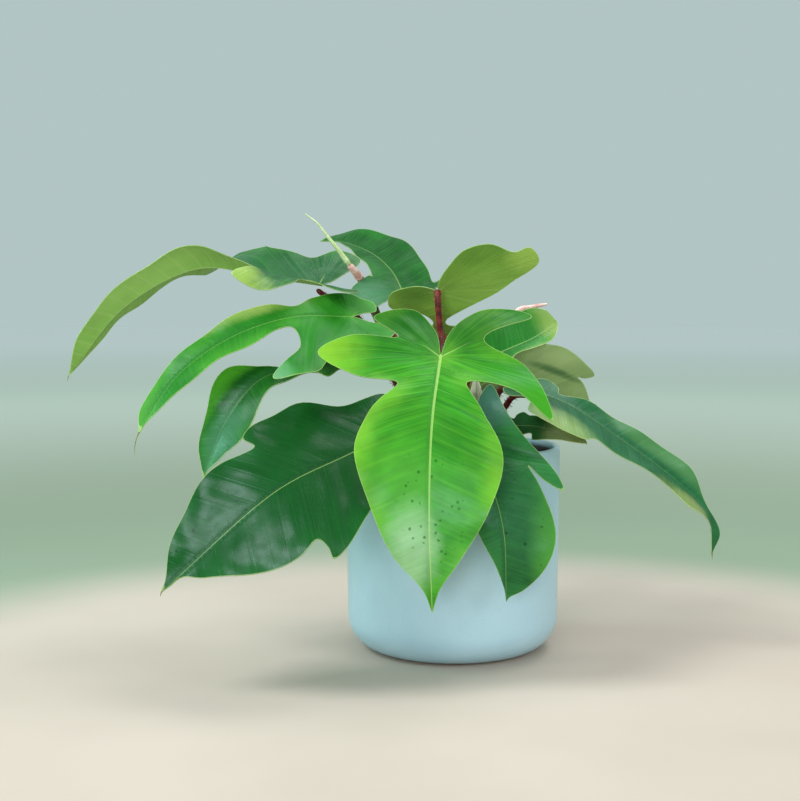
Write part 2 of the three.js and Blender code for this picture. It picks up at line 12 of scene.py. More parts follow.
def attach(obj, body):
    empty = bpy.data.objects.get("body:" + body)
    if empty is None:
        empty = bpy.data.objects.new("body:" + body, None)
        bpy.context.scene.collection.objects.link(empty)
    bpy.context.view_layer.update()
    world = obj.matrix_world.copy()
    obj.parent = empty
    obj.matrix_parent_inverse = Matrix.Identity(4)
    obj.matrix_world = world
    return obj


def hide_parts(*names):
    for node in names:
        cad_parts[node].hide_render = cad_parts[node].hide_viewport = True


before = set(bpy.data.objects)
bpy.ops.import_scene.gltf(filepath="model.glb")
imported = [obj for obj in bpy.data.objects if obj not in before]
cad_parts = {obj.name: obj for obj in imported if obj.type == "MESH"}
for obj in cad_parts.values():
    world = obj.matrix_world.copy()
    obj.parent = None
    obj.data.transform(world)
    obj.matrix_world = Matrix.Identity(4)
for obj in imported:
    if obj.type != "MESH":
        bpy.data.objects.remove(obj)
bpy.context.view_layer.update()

MM = 0.001
FULL_TURN = 2 * math.pi

# The camera stands where the photographer stood, tilted below the horizontal
CAMERA_PLACE = (-34.6, -913.4, 232.6)
CAMERA_TILT = math.radians(4.41)
CAMERA_LENS = 62.9
CAMERA_SENSOR = 36

# The pot, as in the solids
POT_RADIUS = 70
POT_LOWER_RADIUS = 68.9
POT_HEIGHT = 133.4
FOOT_ROUNDING = 22
FOOT_HOLLOW = 0.9
WALL = 4
FLOOR = 6
RIM_ROUNDING = 1.8
POT_SIDES = 160

# The soil: its domed surface, its plain body, its relief and its loose crumbs
SOIL_EDGE_Z = 117
SOIL_MIDDLE_Z = 121
SOIL_REACH = POT_RADIUS - WALL - 0.5
SOIL_DEPTH = 20
SOIL_RINGS = 44
SOIL_SIDES = 150
LUMP_SIZE = 9
LUMP_HEIGHT = 1.2
GRIT_SIZE = 3.2
GRIT_HEIGHT = 1.6
RELIEF_SINK = 1
CRUMB_COUNT = 900
CRUMB_SIZES = (0.7, 2.6)
CRUMB_STRETCHES = (0.5, 1.2)
CRUMB_UNEVENNESS = 0.25

# The blades' sheet, the midrib below it and the groove above the midrib
HALF_THICKNESS = 0.25
RIB_DEPTH = 1.1
RIB_WIDTH = 1.9
RIB_TAPER = 0.75
RIB_FLATTENING = 0.6
GROOVE_DEPTH = 0.3
GROOVE_WIDTH = 1.3

# The points of a blade's mesh: their spacing inside and along the ribs, how many for each stretch of the
# margin, and the margin's least distance from the midrib
GRID = 2.1
RIB_STEP = 1.8
MARGIN_SAMPLES = 8
MIDRIB_CLEARANCE = 0.2

# The lobes' ribs on each half: the outline's points that they run to, where they leave the midrib as a
# share of its length, and the share of their way that has points of its own
LOBE_POINTS = (2, 5)
LOBE_ROOTS = (0.01, 0.03)
LOBE_RIB_SHARE = 0.8

# Side veins: their run along the midrib for each millimetre across, how many points of the outline have
# theirs rooted at the foot, the least step between two roots, and the veins between two points
VEIN_SWEEP = 0.5
FOOT_POINTS = 5
ROOT_STEP = 0.02
VEINS_PER_ROW = 3

# The waves of the margin, the slow swell of the whole blade and the quilting between side veins
WAVE_REACH = 16
WAVE_RUN = 6.5
SWELL_HEIGHT = 0.9
SWELL_SIZE = 24
QUILT_HEIGHT = 0.16
QUILTS_PER_ROW = 2

# Where along the blade the three values of fold and curl hold, as fractions of its length
STATIONS = [-0.1, 0.25, 1]

# Stalks: their radii, how deep they stand in the soil, and how they meet the blade from below
STALK_FOOT_RADIUS = 2.6
STALK_RADIUS = 1.9
STALK_SIDES = 14
STALK_STEP = 1.5
STALK_UNEVENNESS = 0.05
HOLE_DEPTH = 16
FOOT_CLEARANCE = 2
JOINT_DEPTH = 4.2
JOINT_ADVANCE = 3
BEND_BACK = 9
BEND_DOWN = 5

# Bristles: the stalk's bare ends, then their number, radius, lengths, turn from one to the next, and droop
BARE_FOOT = 17
BARE_NECK = 5
BRISTLES_PER_MM = 3.2
BRISTLE_ROOT_RADIUS = 0.2
BRISTLE_LENGTHS = (1.6, 3.4)
BRISTLE_TURN = 2.4
BRISTLE_DROOPS = (0.05, 0.6)

# Each blade: midrib, upper side's direction along it, fold in degrees and curl in degrees per 100 mm for
# both halves or for the left and the right one, the outline of each half as distances across and along, and
# the stalk's way
LEAVES = {
    "front": dict(
        rib=[[-10, -70, 195], [-16, -104, 157], [-18, -122, 106], [-16, -118, 48]],
        up=[[0, -0.75, 0.65], [0, -1, 0.25], [0, -1, 0.05]],
        fold=[8, 6, 10], curl=[-20, -16, -12],
        left=[[4, -18], [22, -38], [53, -36], [25, -13], [53, 5], [70, 41], [46, 24], [18, 21], [29, 41],
              [42, 72], [35, 102], [19, 130], [5, 150]],
        right=[[5, -18], [19, -32], [44, -24], [27, -9], [55, -7], [74, 8], [47, 25], [23, 27], [37, 48],
               [44, 70], [34, 101], [21, 129], [5, 150]],
        stalk=[[-3, -12, 119], [-7, -16, 160], [-9, -30, 205]],
    ),
    "front_left": dict(
        rib=[[-42, -60, 145], [-67, -78, 135], [-107, -104, 117], [-171, -126, 62]],
        up=[[-0.1, -0.68, 0.7], [-0.2, -0.7, 0.65], [-0.3, -0.75, 0.6]],
        fold=[4, 4, 6], curl=[-14, -12, -10],
        left=[[4, -6], [12, -14], [22, -10], [24, 12], [52, 58], [64, 88], [55, 86], [47, 87], [49, 100],
              [36, 127], [14, 147], [2, 157], [1, 165]],
        right=[[4, -6], [19, -21], [31, -23], [34, -9], [38, 5], [55, 35], [47, 75], [36, 74], [41, 95],
               [36, 119], [20, 148], [11, 158], [4, 165]],
        stalk=[[-16, -22, 118], [-22, -30, 142], [-32, -48, 152]],
    ),
    "front_right": dict(
        rib=[[10, -58, 148], [20, -80, 119], [27, -90, 91], [29, -88, 48]],
        up=[[0.1, -0.8, 0.5], [0.1, -1, 0.1]],
        fold=[4, 4, 6], curl=[-14, -12, -10],
        left=[[3, -6], [10, -21], [21, -30], [26, 2], [36, 29], [41, 53], [31, 45], [25, 33], [28, 49],
              [31, 73], [22, 94], [11, 105], [2, 109]],
        right=[[3, -6], [8, -14], [14, -14], [10, 0], [18, 6], [22, 14], [16, 22], [10, 28], [14, 36],
               [20, 46], [15, 69], [6, 90], [1, 104]],
        stalk=[[8, -26, 118], [9, -32, 138], [10, -42, 148]],
    ),
    "left_drooping": dict(
        rib=[[-63, -8, 192], [-91, -24, 185], [-121, -38, 179], [-142, -50, 154], [-156, -56, 118]],
        up=[[0, -0.6, 0.8], [-0.2, -0.7, 0.6], [-0.6, -0.75, 0.2]],
        fold=[6, 6, 8], curl=[-10, -10, -10],
        left=[[5, -8], [16, -16], [24, -12], [14, 2], [9, 16], [15, 29], [8, 33], [5, 37], [10, 56],
              [16, 86], [21, 110], [10, 124], [1, 137]],
        right=[[5, -8], [14, -16], [22, -14], [16, 0], [24, 4], [26, 14], [16, 24], [2, 43], [9, 62],
               [23, 76], [16, 103], [11, 123], [5, 134]],
        stalk=[[-20, -2, 118], [-28, -2, 150], [-44, -4, 184]],
    ),
    "left_arching": dict(
        rib=[[-65, -4, 217], [-103, -18, 217], [-140, -32, 205], [-173, -44, 181], [-196, -54, 146]],
        up=[[0, -0.6, 0.75], [0, -0.55, 0.8], [-0.5, -0.6, 0.6]],
        fold=[[4, 4, 6], [6, 8, 8]], curl=[[-14, -10, -10], [4, 4, 0]],
        left=[[5, -8], [16, -24], [30, -10], [28, 8], [58, 45], [52, 79], [33, 48], [10, 45], [15, 67],
              [15, 85], [14, 113], [10, 141], [1, 160]],
        right=[[3, -8], [5, -17], [13, -17], [16, -9], [20, -3], [22, 10], [17, 24], [9, 37], [16, 52],
               [15, 79], [11, 125], [10, 145], [8, 157]],
        stalk=[[-12, 6, 119], [-18, 8, 160], [-40, 2, 205]],
    ),
    "left_upper": dict(
        rib=[[-86, 16, 238], [-121, 10, 243], [-165, 4, 249], [-213, -4, 224], [-249, -10, 179]],
        up=[[0, -0.35, 0.94], [0, -0.25, 0.95], [0, 0.4, 0.92], [-0.3, 0.45, 0.8], [-0.5, 0.5, 0.7],
            [-0.6, 0.5, 0.5]],
        fold=[[16, 40, 14], [16, 14, 14]], curl=[[0, -200, 0], [0, 0, 0]],
        left=[[5, -8], [20, -22], [32, -16], [12, 14], [28, 22], [52, 60], [34, 52], [12, 40], [13, 62],
              [21, 82], [17, 112], [15, 143], [10, 175]],
        right=[[4, -6], [35, -27], [42, -11], [31, 7], [34, 17], [42, 35], [55, 51], [66, 60], [12, 90],
               [15, 110], [14, 135], [10, 155], [4, 180]],
        stalk=[[-24, 14, 119], [-34, 20, 165], [-62, 22, 215]],
    ),
    "top_centre": dict(
        rib=[[-33, 32, 234], [-40, 52, 247], [-54, 80, 260], [-75, 110, 269], [-94, 132, 271]],
        up=[[0.1, -0.7, 0.7], [0.2, -0.7, 0.7]],
        fold=[6, 6, 8], curl=[-10, -8, -8],
        left=[[6, -6], [23, -17], [33, -22], [38, -5], [34, 5], [22, 19], [16, 23], [16, 20], [14, 37],
              [12, 59], [7, 84], [1, 106], [1, 118]],
        right=[[4, -6], [12, -10], [24, -10], [22, -4], [32, -4], [40, 2], [34, 8], [23, 2], [23, 16],
               [26, 48], [25, 70], [20, 95], [10, 118]],
        stalk=[[-14, 16, 119], [-24, 18, 165], [-33, 24, 205]],
    ),
    "top_right": dict(
        rib=[[-10, 6, 234], [-8, 26, 211], [-2, 66, 191], [0, 96, 162], [0, 104, 118]],
        up=[[0, 0.8, 0.6], [0, 0.7, 0.7], [0, 0.9, 0.5], [0, 1, 0.2]],
        fold=[6, 6, 6], curl=[0, 0, -8],
        left=[[10, -3], [20, -2], [30, 2], [33, 8], [33, 14], [30, 17], [19, 17], [4, 28], [22, 50],
              [30, 80], [26, 115], [16, 138], [5, 156]],
        right=[[1, -7], [17, -30], [35, -33], [51, -25], [61, -27], [67, -15], [45, 4], [4, 28], [24, 50],
               [33, 80], [28, 115], [18, 138], [6, 156]],
        stalk=[[4, 2, 121], [2, -2, 165], [-8, -4, 205]],
    ),
    "right_upper": dict(
        rib=[[16, -22, 188], [31, -16, 195], [51, -6, 203], [69, 8, 213]],
        up=[[0, -0.8, 0.6], [0.3, -0.7, 0.7]],
        fold=[4, 4, 6], curl=[-8, -8, -8],
        left=[[4, -4], [12, -12], [20, -10], [14, 0], [22, 2], [28, 10], [27, 21], [19, 28], [21, 39],
              [20, 48], [17, 59], [11, 66], [5, 68]],
        right=[[3, -4], [8, -8], [14, -6], [8, 2], [12, 6], [16, 12], [10, 18], [7, 22], [6, 27], [7, 36],
               [8, 46], [8, 53], [4, 62]],
        stalk=[[10, -8, 120], [10, -10, 150], [8, -16, 172]],
    ),
    "right_pale": dict(
        rib=[[40, 18, 177], [63, 40, 169], [86, 68, 157], [100, 104, 137]],
        up=[[0, 0.8, 0.6], [0.3, 0.8, 0.5]],
        fold=[0, 0, 8], curl=[0, 0, 0],
        left=[[3, -8], [12, -16], [22, -14], [26, -4], [12, 6], [16, 14], [12, 24], [8, 30], [10, 44],
              [14, 60], [12, 78], [8, 90], [3, 104]],
        right=[[3, -6], [19, -24], [26, -22], [31, -15], [37, 6], [27, 56], [21, 53], [20, 47], [17, 57],
               [11, 80], [14, 84], [9, 94], [3, 104]],
        stalk=[[18, 4, 119], [22, 4, 150], [30, -4, 168]],
    ),
    "right_arching": dict(
        rib=[[47, -22, 172], [74, -26, 161], [104, -30, 141], [138, -34, 116], [160, -38, 93],
             [162, -42, 68]],
        up=[[0, -0.4, 0.9], [0.2, -0.5, 0.85], [0.5, -0.6, 0.6], [0.8, -0.5, 0.3]],
        fold=[8, 8, 8], curl=[0, 0, 0],
        left=[[3, -4], [9, -10], [15, -8], [10, 2], [14, 5], [16, 11], [12, 18], [6, 20], [12, 39],
              [15, 73], [17, 112], [3, 137], [8, 153]],
        right=[[5, -6], [14, -14], [22, -10], [14, 4], [37, 7], [37, 26], [33, 47], [24, 53], [21, 61],
               [17, 86], [12, 110], [17, 128], [1, 149]],
        stalk=[[20, -8, 118], [26, -8, 145], [34, -12, 160]],
    ),
    "rim_right": dict(
        rib=[[37, -24, 148], [51, -28, 148], [68, -34, 144], [83, -40, 138]],
        up=[[0, -0.6, 0.8], [0.2, -0.6, 0.8]],
        fold=[8, 8, 8], curl=[0, 0, 0],
        left=[[2, -3], [6, -8], [10, -6], [6, 0], [10, 2], [12, 6], [9, 10], [9, 12], [8, 17], [5, 25],
              [7, 37], [6, 42], [3, 47]],
        right=[[2, -3], [6, -8], [10, -6], [6, 0], [10, 2], [12, 6], [9, 10], [8, 14], [14, 17], [11, 26],
               [8, 35], [6, 41], [3, 46]],
        stalk=[[24, -22, 117], [27, -23, 130], [30, -22, 140]],
    ),
}


def blade_look(deep, light, tint, under="#5d8a44", slot="leaf_mid", **own):
    """A blade's greens and slot, and what it has of its own in place of the usual strengths and sizes."""
    usual = {"tinting": 0.3, "streaks": 0.6, "midrib": 0.35, "margin": 0.4, "rough": 0.36, "gloss": 0.24,
             "wave": 1.0, "slimness": 2}
    return {"deep": deep, "light": light, "tint": tint, "under": under, "slot": slot, **usual, **own}


# The look of each blade: the deep and the light green of its upper side, the tint towards its margin, its
# lower side's green and its slot, then, where they aren't usual, how strong the tint, the streaks, the midrib
# and the margin line are, the roughness and strength of its gloss, how far its margin waves in millimetres,
# and how slim the line of its midrib is
LOOKS = {
    "front": blade_look(
        "#14600a", "#3e9a20", "#74b030", "#7fae4a", "leaf_young",
        tinting=0.6, streaks=0.9, midrib=0.5, margin=0.3, gloss=0.2, wave=1.2, slimness=1,
    ),
    "front_left": blade_look(
        "#08370f", "#13521d", "#226a28", slot="leaf_dark",
        tinting=0.25, streaks=0.3, rough=0.3, gloss=0.14, wave=1.6,
    ),
    "front_right": blade_look(
        "#0c4018", "#2b7036", "#3f8f45", slot="leaf_dark",
        tinting=0.4, streaks=0.8, midrib=0.3, rough=0.3, wave=1.4,
    ),
    "left_drooping": blade_look(
        "#083a0e", "#185f1a", "#3d8f2c", slot="leaf_dark",
        tinting=0.5, streaks=0.5, midrib=0.12, margin=0.5, rough=0.34, gloss=0.18, wave=1.2,
    ),
    "left_arching": blade_look(
        "#0e5a0c", "#2c7f22", "#57a634", "#7c9a4a",
        tinting=0.4, streaks=0.45, midrib=0.18, margin=0.45, rough=0.38, gloss=0.15,
    ),
    "left_upper": blade_look(
        "#0b4218", "#1d6127", "#6fb04a", "#86b454", tinting=0.15, midrib=0.4, wave=0.8,
    ),
    "top_centre": blade_look(
        "#083a0e", "#185c17", "#2f8028", "#6f9a58",
        streaks=0.9, midrib=0.25, margin=0.35, gloss=0.17,
    ),
    "top_right": blade_look(
        "#1a611d", "#2b7c2c", "#4d9a40", "#84b046", streaks=0.7, midrib=0.4,
    ),
    "right_upper": blade_look(
        "#0f5510", "#2a8222", "#5da838", "#7ea548",
        tinting=0.35, streaks=0.5, margin=0.5, rough=0.33, wave=0.8,
    ),
    "right_pale": blade_look(
        "#12511c", "#276c32", "#58964a", "#9dbf78", rough=0.4, wave=0.8,
    ),
    "right_arching": blade_look(
        "#0d4520", "#226739", "#3b8248", "#84a654", "leaf_dark",
        midrib=0.12, margin=0.45, rough=0.34,
    ),
    "rim_right": blade_look(
        "#123f1c", "#22562a", "#2c6630", "#84a058", "leaf_dark",
        midrib=0.2, margin=0.3, rough=0.34, wave=0.5,
    ),
}

# Soft patches on the upper side: place across (left negative) and along, reach both ways, colour, strength
ZONES = {
    "front": [
        (0, -26, 74, 28, "#0b4605", 0.8), (-52, 14, 34, 24, "#1f7a10", 0.6),
        (78, 6, 32, 26, "#86b92a", 0.75), (60, 70, 24, 44, "#7db930", 0.7),
        (-56, 100, 24, 38, "#74b02e", 0.5), (-72, 36, 24, 22, "#43961c", 0.6),
        # The paler green over the lower blade and the pale mint patch near the tip are painted sheen
        (0, 112, 34, 42, "#57a84e", 0.4), (10, 124, 15, 26, "#a9cfa2", 0.7),
        (-8, 56, 24, 30, "#1b720e", 0.35), (18, 84, 20, 26, "#5cab32", 0.4),
    ],
    "left_upper": [(-48, 60, 26, 26, "#a8c85a", 0.9), (-12, 120, 40, 60, "#3f8a3a", 0.4)],
    # left_arching: the second patch, bluish pale at the tip of the left lobe, is painted sheen
    "left_arching": [(17, 64, 9, 34, "#8da452", 0.9), (-50, 76, 16, 14, "#7fae8c", 0.5)],
    # left_drooping: the second patch, bluish near the tip, is painted sheen
    "left_drooping": [(20, 80, 9, 40, "#57b02c", 0.7), (-6, 116, 14, 24, "#5f9a7a", 0.4)],
    "right_upper": [(4, 66, 26, 16, "#8aa24e", 0.85), (14, 30, 8, 34, "#9dbb62", 0.5)],
    "right_arching": [
        (34, 26, 18, 30, "#93ad62", 0.9), (13, 132, 9, 30, "#8f9a52", 0.7),
        (-12, 100, 8, 50, "#5f8f52", 0.5),
    ],
    "rim_right": [(0, 42, 22, 20, "#a3b070", 0.95)],
    # front_right: the first patch, bluish grey over the left basal lobe by the stalk, is painted sheen
    "front_right": [
        (-16, -14, 22, 18, "#4a746c", 0.7), (-30, 84, 14, 34, "#5aa838", 0.6),
        (-8, 60, 18, 30, "#3b7a4c", 0.4),
    ],
    "top_centre": [(-30, -4, 22, 24, "#4d8560", 0.6)],
}

# The same for the lower side
UNDER_ZONES = {
    # top_right: the three darker patches, on the joint and the big basal lobe, are painted shade, and the two
    # lighter yellow-green ones are painted light shining through the blade
    "top_right": [
        (-16, 0, 14, 18, "#4a742a", 0.7), (22, -30, 26, 12, "#557f2f", 0.7),
        (62, -20, 16, 16, "#a9c75e", 0.8), (36, 4, 30, 16, "#97bf58", 0.6),
        (46, -32, 12, 8, "#4f7d2e", 0.5),
    ],
    "right_pale": [(16.5, 27, 3.6, 28, "#2f6a33", 0.9), (30, 10, 12, 30, "#b3c98c", 0.5)],
    "left_upper": [(-14, 120, 14, 40, "#9fc46a", 0.5), (6, 60, 12, 26, "#6f9f48", 0.5)],
}

# Blades with small dark drops: the region's middle and reach across and along, their colour, sparseness
DROPS = {
    "front": ((-2, 95), (24, 44), "#155c10", 0.5),
    "front_left": ((14, 120), (24, 40), "#04200a", 0.52),
    "front_right": ((-10, 70), (20, 34), "#0a3212", 0.54),
}

# The pale lines of midribs and lobe ribs, above and below, and of margins
PALE_RIB = "#b5d877"
PALE_UNDER_RIB = "#a9c07a"
PALE_MARGIN = "#c3d98a"

# Blades whose tip runs out into a thin hanging hair, the hair's length, and its radius at both ends
TAILS = {"left_arching": 13, "left_upper": 4, "right_arching": 4, "front_left": 3}
TAIL_RADIUS = 0.45
TAIL_END_RADIUS = 0.08

# Two climbing stems, their pink sheaths and the rolled new leaf: the way from the soil, then for each piece
# its node, its slot, the fraction of the way at which it ends, and its radii at both ends
CLIMBERS = [
    (
        [[-22, 30, 118], [-28, 34, 150], [-35, 38, 185], [-50, 43, 216], [-61, 43, 241],
         [-67, 31, 249], [-75, 27, 260], [-83, 25, 270], [-90, 23, 279], [-98, 22, 285]],
        [("stem_left", "stem", 0.7, 4, 3), ("sheath_left", "sheath_pink", 0.78, 3, 2.1),
         ("new_leaf", "leaf_rolled", 1, 1.9, 0.25)],
    ),
    (
        [[24, 26, 118], [30, 34, 160], [37, 32, 198], [44, 24, 220], [53, 20, 223], [63, 18, 225]],
        [("stem_right", "stem", 0.83, 4, 2.4), ("sheath_right", "sheath_pink", 1, 2.2, 0.9)],
    ),
]
CLIMBER_SIDES = 18

# The cream scale leaf beside the front stalk: its midrib, fold and curl as for the blades, and its sheet
SCALE_RIB = [[15, -15, 112], [15, -17, 125], [14, -27, 155], [13, -34, 180]]
SCALE_FOLD = 25
SCALE_CURL = 300
SCALE_HALF_WIDTH = 8
SCALE_HALF_THICKNESS = 0.2
SCALE_CRINKLE = 0.35
SCALE_ROWS = 60
SCALE_COLUMNS = 12


def colour(code):
    """A linear colour with alpha from a screen colour such as #3fa51f."""
    screen = [int(code[i:i + 2], 16) / 255 for i in (1, 3, 5)]
    return [c / 12.92 if c < 0.04045 else ((c + 0.055) / 1.055) ** 2.4 for c in screen] + [1]


class Look:
    """A material whose nodes are made one after another."""

    def __init__(self, name, **values):
        self.material = bpy.data.materials.new(name)
        self.material.use_nodes = True
        tree = self.material.node_tree
        self.nodes, self.links = tree.nodes, tree.links
        self.shader = self.nodes["Principled BSDF"]
        for socket, value in values.items():
            self.put(socket.replace("_", " "), value)

    def feed(self, socket, value):
        if isinstance(value, bpy.types.NodeSocket):
            self.links.new(value, socket)
        else:
            socket.default_value = value

    def put(self, socket, value):
        self.feed(self.shader.inputs[socket], value)

    def node(self, kind, values=(), **settings):
        """A new node, with values or links for its first inputs or for those named."""
        node = self.nodes.new("ShaderNode" + kind)
        for key, value in settings.items():
            setattr(node, key, value)
        for key, value in values.items() if isinstance(values, dict) else enumerate(values):
            self.feed(node.inputs[key], value)
        return node

    def attribute(self, name):
        return self.node("Attribute", attribute_name=name).outputs["Fac"]

    def place(self):
        return self.node("TexCoord").outputs["Object"]

    def plus(self, one, other):
        return self.node("Math", (one, other), operation="ADD").outputs[0]

    def times(self, one, other):
        return self.node("Math", (one, other), operation="MULTIPLY").outputs[0]

    def greater(self, one, other):
        return self.node("Math", (one, other), operation="MAXIMUM").outputs[0]

    def vector(self, x, y, z):
        return self.node("CombineXYZ", (x, y, z)).outputs[0]

    def noise(self, vector, scale, detail=3, roughness=0.55):
        values = {"Vector": vector, "Scale": scale, "Detail": detail, "Roughness": roughness}
        return self.node("TexNoise", values).outputs["Fac"]

    def grain(self, scale, detail=3, roughness=0.55):
        """A noise in the space around the piece."""
        return self.noise(self.place(), scale, detail, roughness)

    def smooth(self, value, low, high, start=0, end=1):
        """An eased step from start, where the value is low, to end, where it is high."""
        values = (value, low, high, start, end)
        return self.node("MapRange", values, interpolation_type="SMOOTHSTEP").outputs["Result"]

    def mix(self, factor, one, other):
        return self.node("Mix", {0: factor, 6: one, 7: other}, data_type="RGBA").outputs[2]

    def two_tone(self, value, low, high, dark, light):
        return self.mix(self.smooth(value, low, high), colour(dark), colour(light))

    def rough(self, value, low, high):
        """A roughness between two bounds that follows a noise."""
        self.put("Roughness", self.smooth(value, 0.3, 0.7, low, high))

    def bump(self, height, distance, strength):
        """Relief on top of the relief that is there already, its distance in millimetres."""
        values = {"Strength": strength, "Distance": distance * MM, "Height": height}
        if self.shader.inputs["Normal"].is_linked:
            values["Normal"] = self.shader.inputs["Normal"].links[0].from_socket
        self.put("Normal", self.node("Bump", values).outputs["Normal"])


def add_piece(name, vertices, faces, looks, replaced=(), face_looks=None, sharp=40, facts=()):
    """A mesh, given in millimetres, that rides on the plant's one body."""
    mesh = bpy.data.meshes.new(name)
    vertices = np.asarray(vertices) * MM
    mesh.from_pydata(vertices.tolist(), [], [list(map(int, face)) for face in faces])
    for look in looks:
        mesh.materials.append(look.material)
    if face_looks is not None:
        mesh.polygons.foreach_set("material_index", np.asarray(face_looks, np.int32))
    for key, values in dict(facts).items():
        mesh.attributes.new(key, "FLOAT", "POINT").data.foreach_set("value", np.asarray(values, np.float32))
    mesh.polygons.foreach_set("use_smooth", np.ones(len(mesh.polygons), bool))
    mesh.set_sharp_from_angle(angle=math.radians(sharp))
    mesh.update()
    piece = bpy.data.objects.new(name, mesh)
    bpy.context.scene.collection.objects.link(piece)
    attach(piece, "root")
    for node in replaced:
        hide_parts(node)


def spline(points, samples):
    """A centripetal Catmull-Rom curve through the points, with even steps of its parameter."""
    p = np.asarray(points, float)
    ends = np.vstack([2 * p[0] - p[1], p, 2 * p[-1] - p[-2]])
    p0, p1, p2, p3 = (ends[i:i + len(p) - 1] for i in range(4))
    d0, d1, d2 = (
        np.maximum(np.sum((b - a) ** 2, 1) ** 0.25, 1e-4)[:, None] for a, b in ((p0, p1), (p1, p2), (p2, p3))
    )
    m1 = ((p1 - p0) / d0 - (p2 - p0) / (d0 + d1) + (p2 - p1) / d1) * d1
    m2 = ((p2 - p1) / d1 - (p3 - p1) / (d1 + d2) + (p3 - p2) / d2) * d1
    w = np.linspace(0, 1, samples, endpoint=False)[None, :, None]
    p1, p2, m1, m2 = (a[:, None] for a in (p1, p2, m1, m2))
    curve = p1 + m1 * w + (3 * (p2 - p1) - 2 * m1 - m2) * w**2 + (2 * (p1 - p2) + m1 + m2) * w**3
    return np.vstack([curve.reshape(-1, p.shape[1]), p[-1:]])


def unit(vectors):
    return vectors / np.linalg.norm(vectors, axis=-1, keepdims=True)


def smoothstep(values, low, high):
    t = np.clip((np.asarray(values, float) - low) / (high - low), 0, 1)
    return t * t * (3 - 2 * t)


def wander(points, size, seed):
    """Smooth random numbers from -1 to 1 at places in space."""
    return np.array([noise.noise(Vector(p) / size + Vector((seed * 7.3, 0, 0))) for p in points])


def vertex_normals(points, triangles):
    a, b, c = (points[triangles[:, k]] for k in range(3))
    facing = np.cross(b - a, c - a)
    normals = np.zeros_like(points)
    for k in range(3):
        np.add.at(normals, triangles[:, k], facing)
    return unit(normals)


def sheet_mesh(top, under, triangles):
    """A closed thin sheet: vertices, faces, and for each face whether it is on the lower side."""
    count = len(top)
    edges = {(int(a), int(b)) for t in triangles for a, b in ((t[0], t[1]), (t[1], t[2]), (t[2], t[0]))}
    walls = [(b, a, a + count, b + count) for a, b in edges if (b, a) not in edges]
    faces = [*triangles, *(triangles[:, ::-1] + count), *walls]
    kinds = [0] * len(triangles) + [1] * len(triangles) + [0] * len(walls)
    return np.vstack([top, under]), faces, kinds


def on_both_sides(**facts):
    """What is known along a sheet's middle, repeated for its upper and its lower side."""
    return {key: np.tile(values, 2) for key, values in facts.items()}


def along_blade(fraction, values):
    """A value given at the three stations, eased between them."""
    result = np.full(np.shape(fraction), float(values[0]))
    for low, high, first, second in zip(STATIONS, STATIONS[1:], values, values[1:]):
        eased = first + (second - first) * smoothstep(fraction, low, high)
        result = np.where(fraction > low, eased, result)
    return result


def lengths_along(curve):
    return np.concatenate([[0], np.cumsum(np.linalg.norm(np.diff(curve, axis=0), axis=1))])


def between(at, places, values):
    """Rows of values, given at places, read in between them."""
    return np.stack([np.interp(at, places, column) for column in values.T], -1)


class Surface:
    """The curved surface that a blade's flat outline is laid on."""

    def __init__(self, leaf):
        self.bends = [np.broadcast_to(leaf[key], (2, len(STATIONS))) for key in ("fold", "curl")]
        self.curve = spline(leaf["rib"], 60)
        self.at = lengths_along(self.curve)
        self.length = self.at[-1]
        self.tangent = unit(np.gradient(self.curve, self.at, axis=0))
        self.up = np.asarray(leaf["up"], float)

    def frame(self, along):
        """Places on the midrib, and the directions forward, up and sideways there."""
        inside = np.clip(along, 0, self.length)
        place = between(inside, self.at, self.curve)
        forward = unit(between(inside, self.at, self.tangent))
        up = between(inside / self.length * (len(self.up) - 1), range(len(self.up)), self.up)
        up = unit(up - np.sum(up * forward, -1, keepdims=True) * forward)
        return place + forward * np.minimum(along, 0)[..., None], forward, up, np.cross(forward, up)

    def frame_at(self, along):
        return [values[0] for values in self.frame(np.array([along]))]

    def points(self, across, along):
        place, _, up, side = self.frame(along)
        fraction = along / self.length
        left = across < 0
        fold, curl = (
            np.radians(np.where(left, along_blade(fraction, pair[0]), along_blade(fraction, pair[1])))
            for pair in self.bends
        )
        curl = curl / 100
        curl = np.where(np.abs(curl) < 1e-6, 1e-6, curl)
        outer = fold + curl * np.abs(across)
        sideways = np.sign(across) * (np.sin(outer) - np.sin(fold)) / curl
        rise = (np.cos(fold) - np.cos(outer)) / curl
        return place + side * sideways[..., None] + up * rise[..., None]


def to_segments(points, starts, ends):
    """Distance from each point to each segment, the fraction along it, and the signed side."""
    along = ends - starts
    length = np.maximum(np.linalg.norm(along, axis=1), 1e-6)
    offset = points[:, None] - starts[None]
    fraction = np.clip(np.sum(offset * along, -1) / length**2, 0, 1)
    distance = np.linalg.norm(offset - fraction[..., None] * along, axis=-1)
    side = (along[:, 0] * offset[..., 1] - along[:, 1] * offset[..., 0]) / length
    return distance, fraction, side


